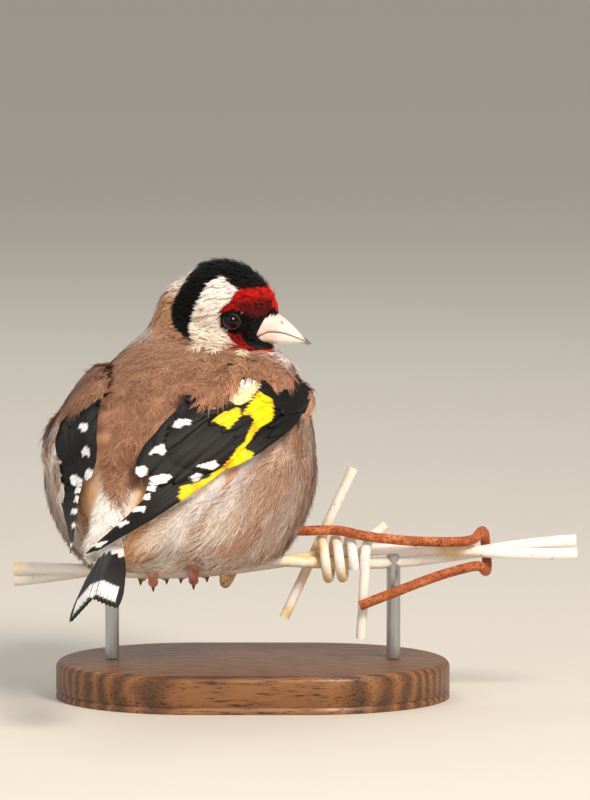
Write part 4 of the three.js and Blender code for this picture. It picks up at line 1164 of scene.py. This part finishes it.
def bareParts(points):
    x, y, z = toHead(points).T
    half, culmen, under = between(billSlices, x, 1), between(billSlices, x, 2), between(billSlices, x, 4)
    middle, tall = (culmen + under) / 2, (culmen - under) / 2
    bill = (x > 7.7) & (np.hypot(y / (half - 0.3), (z - middle) / (tall - 0.3)) < 1)
    eyes = (np.abs(y) > 5) & (np.hypot(x - eye["ahead"], z - eye["up"]) < 1.95)
    jaw = (x > 6.8) & (z > -7) & (z < -4.4) & (np.abs(y) > 1.2)
    return bill | eyes | jaw


def wingCover(points, least=0):
    # whether a wing covers each point, by the nearest place on its sheet; least is the share of its length
    # from which it counts
    places = np.full((len(points), 3), 9.0)
    for i, p in enumerate(points):
        _, k, distance = sheetTree.find(p)
        if distance < plume["nearSheet"]:
            places[i] = sheetPlaces[k][1]
    u, v, side = places.T
    left = side < 0
    under = (u > 0.03) & (u < 0.97) & (v > np.where(left, 0.03, -0.05)) & (v < np.where(left, 1.12, 0.97))
    shoulder = within(wingMarks["mantle"][0], u, v)
    return (u > least) & under & ~shoulder & ~(left & ((v < 0.24) & (u < 0.75) | (u < 0.3)))


def inFurrow(points):
    away, rise = points @ backwards, points[:, 2] - (points @ across) * climb
    return (np.abs(away) < coat["slotHalfWidth"] + 0.3) & (rise < coat["slotTop"] + 1)


# Feathers of the body: those whose root or end lies under a wing, in the furrow or on bare parts are left out
bodyRoots, bodyNormals = scatter(plume["spacing"], lambda c: headShare(c) < 0.85)
bodyEnds = bodyRoots + plume["end"] * lie(bodyRoots, bodyNormals)
farEnds = bodyRoots + plume["farEnd"] * lie(bodyRoots, bodyNormals)
hidden = wingCover(bodyRoots) | wingCover(bodyEnds) | wingCover(farEnds, 0.7)
free = ~(hidden | inFurrow(bodyRoots) | bareParts(bodyRoots))
bodyRoots, bodyNormals = bodyRoots[free], bodyNormals[free]
right, forward, up = -bodyRoots[:, 0], -bodyRoots[:, 1], bodyRoots[:, 2]
turned = np.abs(np.degrees(np.arctan2(right, forward - 2)))
share = headShare(bodyRoots)
wispy = (up < 27) & (turned < 150) & (share < 0.2)
seen = bodyRoots + plume["colourAt"] * plume["end"] * lie(bodyRoots, bodyNormals)
count = len(bodyRoots)
lengths = np.interp(up, [0, 10, 25, 40, 50, 58], [9, 10, 9.5, 8, 6, 4.5]) * draw.uniform(0.88, 1.12, count)
widths = np.interp(up, [0, 40, 50, 58], [4.6, 4.2, 3.4, 2.6]) * draw.uniform(0.9, 1.1, count)
lifts = np.stack([np.full(count, 0.15), np.interp(up, [0, 25, 40, 55], [1.3, 0.85, 0.6, 0.6])
                  * draw.uniform(0.85, 1.15, count) * np.where(right < -8, 0.65, 1)], 1)
paint = paintBird(seen) * draw.uniform(0.9, 1.1, (count, 1))
coatTriangles = 0
for name, chosen, style, droop, stretch in (("coat_back", ~wispy, softStyle, 0.0, 1.0),
                                            ("coat_flank", wispy, wispStyle, 0.3, 1.25)):
    coatTriangles += coatPieces(name, bodyRoots[chosen], bodyNormals[chosen], lengths[chosen] * stretch,
                                widths[chosen], lifts[chosen] * [1, stretch], paint[chosen], style, droop)

headRoots, headNormals = scatter(plume["headSpacing"], lambda c: headShare(c) > 0.5)
free = ~bareParts(headRoots)
headRoots, headNormals = headRoots[free], headNormals[free]
local = toHead(headRoots)
face = ease(local[:, 0], 0, 7)
count = len(headRoots)
lengths = (2.9 - 1.2 * face) * draw.uniform(0.85, 1.15, count)
widths = (1.25 - 0.4 * face) * draw.uniform(0.9, 1.1, count)
lifts = np.stack([np.full(count, 0.1), (0.75 - 0.2 * face) * draw.uniform(0.7, 1.25, count)], 1)
paint = paintBird(headRoots + 0.3 * lie(headRoots, headNormals)) * draw.uniform(0.88, 1.12, (count, 1))
coatTriangles += coatPieces("coat_head", headRoots, headNormals, lengths, widths, lifts, paint, headStyle,
                            sway=0.1)
print("coat", coatTriangles, "triangles")

# The bill: two horny halves that meet along the mouth, with a pit for each nostril
# the lip tone is partly painted shade in the crease along the mouth, and the pit tone is painted shade inside
# each nostril
bill = dict(tip=(19, 0.2, -3.95, -4.3, -4.5), gap=0.07, nostril=(12.0, 1.75, -0.75), pit=0.55,
            ivory="#FBEDE2", dusky="#4B3E48", pink="#E9C3B8", lipAndCreaseShade="#8A6A62", nostrilShade="#3A2622")


def billForm(upper):
    stations = np.linspace(5.5, 19 if upper else 18.5, 70)
    rows = billSlices + [bill["tip"]]
    half, culmen, mouth, under = [between(rows, stations, k)[:, None] for k in (1, 2, 3, 4)]
    angle = math.pi * np.linspace(0, 1, 36)[None, :]
    way = 1 if upper else -1
    seam = mouth + way * bill["gap"]
    far = culmen if upper else under
    wide = half * (1 if upper else 0.94)
    y = wide * np.cos(angle)
    z = seam + (far - seam) * np.sin(angle) ** (0.85 if upper else 0.55)
    x = stations[:, None] + 0 * y
    if upper:
        for side in (1, -1):
            ax, ay, az = bill["nostril"]
            away = np.sqrt(((x - ax) / 1.5) ** 2 + (y - side * ay) ** 2 + (z - az) ** 2)
            pit = np.exp(-(away / bill["pit"]) ** 2 * 2)
            y = y - side * 0.7 * pit
            z = z - 0.25 * pit
    rings = onHead(x, y, z)
    points, faces = loft(rings)
    local = toHead(points)
    paint = twoTones(local, bill["ivory"], bill["pink"], 0.6 * ease(13 - local[:, 0], 0, 3))
    tip = ease(local[:, 0], 16, 18.4)
    ridge = ease(local[:, 0], 13, 16.5) * ease(np.abs(local[:, 1]), 0.75, 0.1) * (1 if upper else 0)
    paint = blend(paint, pigment(bill["dusky"]), np.clip(0.85 * tip + 0.55 * ridge, 0, 0.9))
    # darker along the mouth line: partly the horn's own browner edge, partly painted shade in the crease
    # where the two halves meet
    seamAt = between(rows, local[:, 0], 3)
    lipAndCreaseShade = ease(0.22 - np.abs(local[:, 2] - seamAt), 0, 0.2)
    paint = blend(paint, pigment(bill["lipAndCreaseShade"]), 0.55 * lipAndCreaseShade)
    if upper:
        # painted shade: each nostril pit is darkened to stand in for the shade inside its opening
        pits = sum(np.exp(-(((local[:, 0] - bill["nostril"][0]) / 1.5) ** 2
                            + (local[:, 1] - side * bill["nostril"][1]) ** 2
                            + (local[:, 2] - bill["nostril"][2]) ** 2) / 0.12) for side in (1, -1))
        paint = blend(paint, pigment(bill["nostrilShade"]), np.clip(pits, 0, 0.85))
    inPlaceOf("bill_upper" if upper else "bill_lower", "horn", points, faces, horn, paint)


for upper in (True, False):
    billForm(upper)


def ballRings(radius, levels=40, around=64):
    rise = (np.arange(1, levels) / levels * math.pi)[:, None]
    angle = 2 * math.pi * np.arange(around) / around
    return np.stack([radius * np.cos(rise) + 0 * angle, radius * np.sin(rise) * np.cos(angle),
                     radius * np.sin(rise) * np.sin(angle)], -1)


def makeEye(name, side):
    # the pole of the ball looks out sideways; the lids are a ring with a beaded edge
    def place(v):
        out, forward, up = v[..., 0], v[..., 1], v[..., 2]
        return onHead(eye["ahead"] + forward, side * (eye["side"] + out), eye["up"] + up)

    poles = [place(np.array([end, 0, 0])) for end in (eye["radius"], -eye["radius"])]
    points, faces = loft(place(ballRings(eye["radius"])), poles)
    local = toHead(points)
    away = np.hypot(local[:, 0] - eye["ahead"], local[:, 2] - eye["up"])
    paint = twoTones(local, "#050404", "#150B08", ease(away, eye["pupil"], eye["pupil"] + 0.12))
    paint = blend(paint, pigment("#0B0706"), ease(away, eye["iris"] - 0.15, eye["iris"]))
    inPlaceOf(name, "glass", points, faces, eyeGlass, paint)
    long, wide = eye["lidSteps"], eye["lidAround"]
    angle = np.linspace(0, 2 * math.pi, long, endpoint=False)
    ringRadius = eye["lidRadius"] - 0.22
    deep = eye["side"] + math.sqrt(eye["radius"] ** 2 - ringRadius ** 2) + 0.02
    around = 2 * math.pi * np.arange(wide) / wide
    thick = eye["lidThickness"] * (1 + 0.16 * np.abs(np.sin(angle * eye["beads"] / 2)))[:, None]
    r = ringRadius + thick * np.cos(around) + 0.05
    r = r * (1 + 0.05 * np.cos(2 * angle))[:, None]
    points = onHead(eye["ahead"] + r * np.cos(angle)[:, None], side * (deep + 0.8 * thick * np.sin(around)),
                    eye["up"] + r * np.sin(angle)[:, None])
    i, j = np.meshgrid(np.arange(long), np.arange(wide), indexing="ij")
    at = lambda i, j: (i % long) * wide + j % wide
    quads = np.stack([at(i, j), at(i, j + 1), at(i + 1, j + 1), at(i + 1, j)], -1).reshape(-1, 4)
    flat = points.reshape(-1, 3)
    quads = quads if volumeOf(flat, quads) > 0 else quads[:, ::-1]
    paint = np.tile(pigment("#2C2522"), (len(flat), 1))
    asPiece(makeObject(f"lids_{'left' if side > 0 else 'right'}", flat, quads, scaly, paint), "head")


for name, side in (("eye_left", 1), ("eye_right", -1)):
    makeEye(name, side)
print("head made")

# Feet: the toes fold over the perch, three to the front and one behind, with scutes across each
feet = dict(places={"right": 2.4, "left": -6.2}, legRadius=0.95, clawRadius=0.6, clawTurn=8, clawDrop=0.75,
            frontClaw=0.45, hindClaw=0.65, hindWiden=1.22, skin=0.3, clear=0.1, rings=90,
            pink="#EDB7A4", dark="#BC7A66", claw="#8A6656", clawTip="#33241E")
# Each toe: how far it spreads along the perch, its radius, and whether it goes behind
toes = dict(inner=(0.9, 0.75, False), middle=(0, 0.8, False), outer=(-0.9, 0.75, False), hind=(0, 1, True))
padHeight = perch["bundle"] + 1.4


def toeReach(radius):
    return perch["bundle"] + feet["skin"] + radius + feet["clear"]


def clawSweep(place, spread, radius, behind):
    first = -50 if behind else -44
    angle = (first - feet["clawTurn"] * np.arange(4)) * degrees
    back = (1 if behind else -1) * toeReach(radius) * np.cos(angle)
    up = toeReach(radius) * np.sin(angle) - feet["clawDrop"] * np.arange(4)
    return byPerch(place + spread * 3.1 + 0 * angle, back, up)


def scutedTube(path, radius, scute, bulge=0.1):
    # overlapping scutes: each swells slowly and steps back at its lower edge
    run = np.concatenate([[0], np.cumsum(np.linalg.norm(np.diff(path, axis=0), axis=1))])
    phase = (run / scute) % 1
    return tube(path, radius * (1 + bulge * (phase - 0.5)), around=20)


def makeFoot(side, place):
    parts = []
    for spread, radius, behind in toes.values():
        hand = 1 if behind else -1
        reach = toeReach(radius)
        turns = np.array([62, 20, -25, -58] if behind else [60, 15, -28, -52]) * degrees
        along = place + spread * (1.1 + 0.55 * np.arange(4))
        points = byPerch(along, hand * reach * np.cos(turns), reach * np.sin(turns))
        path = through(np.vstack([byPerch(place, 0, padHeight), points]), feet["rings"])
        t = np.linspace(0, 1, feet["rings"])
        swell = 1 + 0.07 * np.cos(2 * math.pi * t * 3) - 0.14 * t
        rounded = np.sqrt(np.clip(1 - np.clip((t - 0.93) / 0.075, 0, 1) ** 2, 0.05, 1))
        wide = radius * (feet["hindWiden"] if behind else 1)
        parts.append(scutedTube(path, wide * swell * rounded, 0.85))
    # a low pad where the toes meet
    parts.append(loft(ballRings(1, 24, 36)[..., [1, 2, 0]] * [1.8, 1.8, 1.2] + byPerch(place, 0, padHeight)))
    points, faces = joined(parts)
    paint = twoTones(points, feet["pink"], feet["dark"], 0.35 + 0.35 * waves(points, 2.2, 21))
    inPlaceOf(f"foot_{side}", "scutes", points, faces, scaly, paint)
    top = byPerch(place + 2 * np.sign(place), 4.5, 14)
    path = through([byPerch(place, 0.2, padHeight - 0.6), byPerch(place + np.sign(place), 2, 9), top], 70)
    points, faces = scutedTube(path, feet["legRadius"] * np.linspace(1.05, 1.0, 70), 1.1)
    paint = twoTones(points, feet["pink"], feet["dark"], 0.4 + 0.3 * waves(points, 2.2, 22))
    inPlaceOf(f"tarsus_{side}", "scutes", points, faces, scaly, paint)
    for toe, (spread, radius, behind) in toes.items():
        path = through(clawSweep(place, spread, radius, behind), 40)
        path = path[0] + (path - path[0]) * feet["hindClaw" if behind else "frontClaw"]
        t = np.linspace(0, 1, 40)
        points, faces = tube(path, feet["clawRadius"] * (1 - 0.88 * t ** 1.2), around=18)
        far = np.interp(np.argmin(((points[:, None] - path[None]) ** 2).sum(-1), 1), [0, 39], [0, 1])
        paint = twoTones(points, feet["claw"], feet["clawTip"], ease(far, 0.25, 0.85))
        inPlaceOf(f"claw_{side}_{toe}", "horn", points, faces, horn, paint)


for side, place in feet["places"].items():
    makeFoot(side, place)
print("feet made")


# Wires follow their paths by Geometry Nodes: a round section along each, its ends cut flat
def wireTree():
    tree = bpy.data.node_groups.new("wireAlongPath", "GeometryNodeTree")
    tree.interface.new_socket("Geometry", in_out="INPUT", socket_type="NodeSocketGeometry")
    for name, value in (("Radius", 0.001), ("Spacing", 0.0006), ("Uneven", 0.00005)):
        socket = tree.interface.new_socket(name, in_out="INPUT", socket_type="NodeSocketFloat")
        socket.default_value = value
    tree.interface.new_socket("Finish", in_out="INPUT", socket_type="NodeSocketMaterial")
    tree.interface.new_socket("Geometry", in_out="OUTPUT", socket_type="NodeSocketGeometry")
    given = addNode(tree, "NodeGroupInput").outputs
    curve = addNode(tree, "GeometryNodeMeshToCurve", {"Mesh": given["Geometry"]}).outputs["Curve"]
    even = addNode(tree, "GeometryNodeResampleCurve", {"Curve": curve, "Length": given["Spacing"]},
                   mode="LENGTH")
    ring = addNode(tree, "GeometryNodeCurvePrimitiveCircle", {"Resolution": 28, "Radius": given["Radius"]})
    along = {"Curve": even.outputs["Curve"], "Profile Curve": ring.outputs["Curve"], "Fill Caps": True}
    swept = addNode(tree, "GeometryNodeCurveToMesh", along)
    # small runs and dents in the coat of paint or rust
    where = addNode(tree, "GeometryNodeInputPosition").outputs["Position"]
    rough = addNode(tree, "ShaderNodeTexNoise", {"Vector": where, "Scale": 420.0, "Detail": 2.0})
    level = compute(tree, "SUBTRACT", rough.outputs["Fac"], 0.5)
    height = compute(tree, "MULTIPLY", level, given["Uneven"])
    normal = addNode(tree, "GeometryNodeInputNormal").outputs["Normal"]
    push = addNode(tree, "ShaderNodeVectorMath", {0: normal, "Scale": height}, operation="SCALE")
    shape = swept.outputs["Mesh"]
    for kind, links in (("GeometryNodeSetPosition", {"Offset": push.outputs["Vector"]}),
                        ("GeometryNodeSetShadeSmooth", {}), ("GeometryNodeRealizeInstances", {}),
                        ("GeometryNodeSetMaterial", {"Material": given["Finish"]})):
        shape = addNode(tree, kind, {"Geometry": shape, **links}).outputs["Geometry"]
    addNode(tree, "NodeGroupOutput", {"Geometry": shape})
    return tree


wires = wireTree()


def makeWire(name, path, radius, finish, uneven, node):
    mesh = bpy.data.meshes.new(name + "_path")
    mesh.from_pydata(((path + seat) * mm).tolist(), [(i, i + 1) for i in range(len(path) - 1)], [])
    draft = bpy.data.objects.new(name + "_path", mesh)
    bpy.context.scene.collection.objects.link(draft)
    modifier = draft.modifiers.new("wire", "NODES")
    modifier.node_group = wires
    sockets = {item.name: item.identifier for item in wires.interface.items_tree
               if item.item_type == "SOCKET" and item.in_out == "INPUT"}
    given = {"Radius": radius * mm, "Spacing": 0.5 * mm, "Uneven": uneven * mm, "Finish": finish}
    for label, value in given.items():
        modifier[sockets[label]] = value
    draft.update_tag()
    drawn = bpy.data.meshes.new_from_object(draft.evaluated_get(bpy.context.evaluated_depsgraph_get()))
    bpy.data.objects.remove(draft)
    drawn.name = name
    if not drawn.materials:
        drawn.materials.append(finish)
    made = bpy.data.objects.new(name, drawn)
    bpy.context.scene.collection.objects.link(made)
    asPiece(made, node, node)


def strandPath(phase):
    along = np.linspace(perch["start"], perch["end"], 260)
    return roundPerch(along, perch["strandOffset"], phase - 360 * along / perch["pitch"])


# The barb: a straight wire and a coil with a bent end; the rusty wire winds under the bird and hooks back
wrap = perch["wrap"]
coil = np.linspace(0, 1, 160)
hook = 64
barbPaths = dict(
    perch_barb_straight=[byPerch(36.4, -wrap, 18.7), byPerch(21.7, -wrap, -12.6)],
    perch_barb_coil=roundPerch(29.6 + 7.05 * coil, wrap + 0.15, 100 - 846 * coil),
    perch_barb_bent=[byPerch(43.4, -1.6, 6.6), byPerch(41, -1.2, 4.6), roundPerch(39.6, wrap + 0.2, 62),
                     roundPerch(39, wrap + 0.2, 20), byPerch(38.8, wrap, -3.5), byPerch(38, wrap - 0.4, -17)])
rustyPoints = [roundPerch(7.4, wrap, 70), roundPerch(9, wrap + 0.1, 10), roundPerch(9, wrap + 0.3, -60),
               roundPerch(10, wrap + 0.3, -130), roundPerch(12.5, wrap + 0.3, -200), byPerch(18, -0.6, 6),
               byPerch(27, 1.7, 6.4), byPerch(33, 3.1, 6.3), byPerch(39, 4.7, 5), byPerch(50, 4.4, 3.3),
               roundPerch(hook - 2.5, wrap + 0.3, 42), roundPerch(hook, wrap + 0.3, 100),
               roundPerch(hook + 0.8, wrap + 0.3, 180), roundPerch(hook + 0.8, wrap + 0.3, 262),
               roundPerch(hook - 1.2, wrap + 1.2, 330), byPerch(hook - 8, 6, -3.7), byPerch(37.7, 6.9, -9.6)]
uneven = dict(paint=0.1, rust=0.16)
for letter, phase in (("a", 0), ("b", 180)):
    makeWire(f"strand_{letter}_painted", strandPath(perch["phase"] + phase), perch["strandRadius"],
             creamPaint, uneven["paint"], f"perch_strand_{letter}")
for node, points in barbPaths.items():
    makeWire(node.replace("perch_", "") + "_painted", through(points, 200), perch["barbRadius"],
             creamPaint, uneven["paint"], node)
makeWire("rusty_wire", through(rustyPoints, 420), perch["barbRadius"], rust, uneven["rust"],
         "perch_rusty_wire")
print("wires made")

# Stand: an oval base with a rolled top edge, and the two rods as they come
base = dict(at=15, halfLength=42, halfWidth=30, thickness=8, edge=1.5, steps=160, edgeSteps=10)


def makeBase():
    straight = base["halfLength"] - base["halfWidth"]
    angle = np.linspace(0, 2 * math.pi, base["steps"], endpoint=False)
    shift = np.where(np.cos(angle) >= 0, straight, -straight)
    # inset and height: the foot, a fine groove, the side, the rolled edge and the flat top
    profile = [(-0.9, 0.0), (0.0, 0.0), (0.0, 0.25), (0.0, 1.0), (-0.35, 1.3), (-0.35, 1.55), (0.0, 1.8)]
    profile += [(0.0, base["thickness"] - base["edge"])]
    for a in np.linspace(0, math.pi / 2, base["edgeSteps"])[1:]:
        profile += [(base["edge"] * (math.cos(a) - 1), base["thickness"] - base["edge"] * (1 - math.sin(a)))]
    profile += [(-3, base["thickness"]), (-8, base["thickness"])]
    rings = []
    for inset, height in profile:
        r = base["halfWidth"] + inset
        along, back = r * np.cos(angle) + shift, r * np.sin(angle)
        ring = along[:, None] * across + back[:, None] * backwards
        rings.append(ring + base["at"] * across + [0, 0, height - perch["height"]])
    points, faces = loft(np.array(rings))
    asPiece(makeObject("base_oiled_wood", points, faces, walnut), "stand_base", "stand_base")


makeBase()
for name in ("stand_rod_left", "stand_rod_right"):
    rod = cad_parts[name]
    rod.data.materials.clear()
    rod.data.materials.append(steel)


# Floor, light and camera
floorTone = material("paleFloor", {"Base Color": shade("#D9D4CB"), "Roughness": 0.85})
bpy.ops.mesh.primitive_circle_add(vertices=96, radius=25, fill_type="NGON", location=(0, 0, 0))
floor = bpy.context.object
floor.name = "studio_floor"
floor.data.materials.append(floorTone)
world = bpy.data.worlds.new("studioAir")
bpy.context.scene.world = world
world.use_nodes = True
world.node_tree.nodes["Background"].inputs["Color"].default_value = shade("#E9E6E0")
world.node_tree.nodes["Background"].inputs["Strength"].default_value = 0.55
lamps = dict(key=(226, 40, 1.1, 0.4, 12.5, "#FFF2E2"), fill=(150, 25, 1.2, 0.9, 2, "#EAF0FF"),
             back=(40, 50, 1.2, 0.8, 3, "#FFFFFF"))
shot = dict(azimuth=200, elevation=5, distance=1.4, target=(-8.45, -3.08, 63.5), seen=170.2, sensor=36)


def lookAt(name, data, centre, azimuth, elevation, distance):
    # a lamp or camera around a centre, turned to it
    a, e = azimuth * degrees, elevation * degrees
    made = bpy.data.objects.new(name, data)
    bpy.context.scene.collection.objects.link(made)
    way = Vector((math.sin(a) * math.cos(e), -math.cos(a) * math.cos(e), math.sin(e)))
    made.location = centre + distance * way
    made.rotation_mode = "QUATERNION"
    made.rotation_quaternion = (centre - made.location).to_track_quat("-Z", "Y")
    return made


for name, (azimuth, elevation, distance, size, power, colour) in lamps.items():
    light = bpy.data.lights.new(name, "AREA")
    light.shape = "DISK"
    light.size = size
    light.energy = power
    light.color = linear(colour)
    lookAt(name, light, Vector((0, 0, 0.05)), azimuth, elevation, distance)
camera = lookAt("camera", bpy.data.cameras.new("camera"), Vector(shot["target"]) * mm, shot["azimuth"],
                shot["elevation"], shot["distance"])
camera.data.sensor_width = shot["sensor"]
camera.data.lens = shot["sensor"] * shot["distance"] / (shot["seen"] * mm)
camera.data.clip_start, camera.data.clip_end = 0.05, 60
bpy.context.scene.camera = camera

bpy.context.scene.view_settings.view_transform = "Standard"
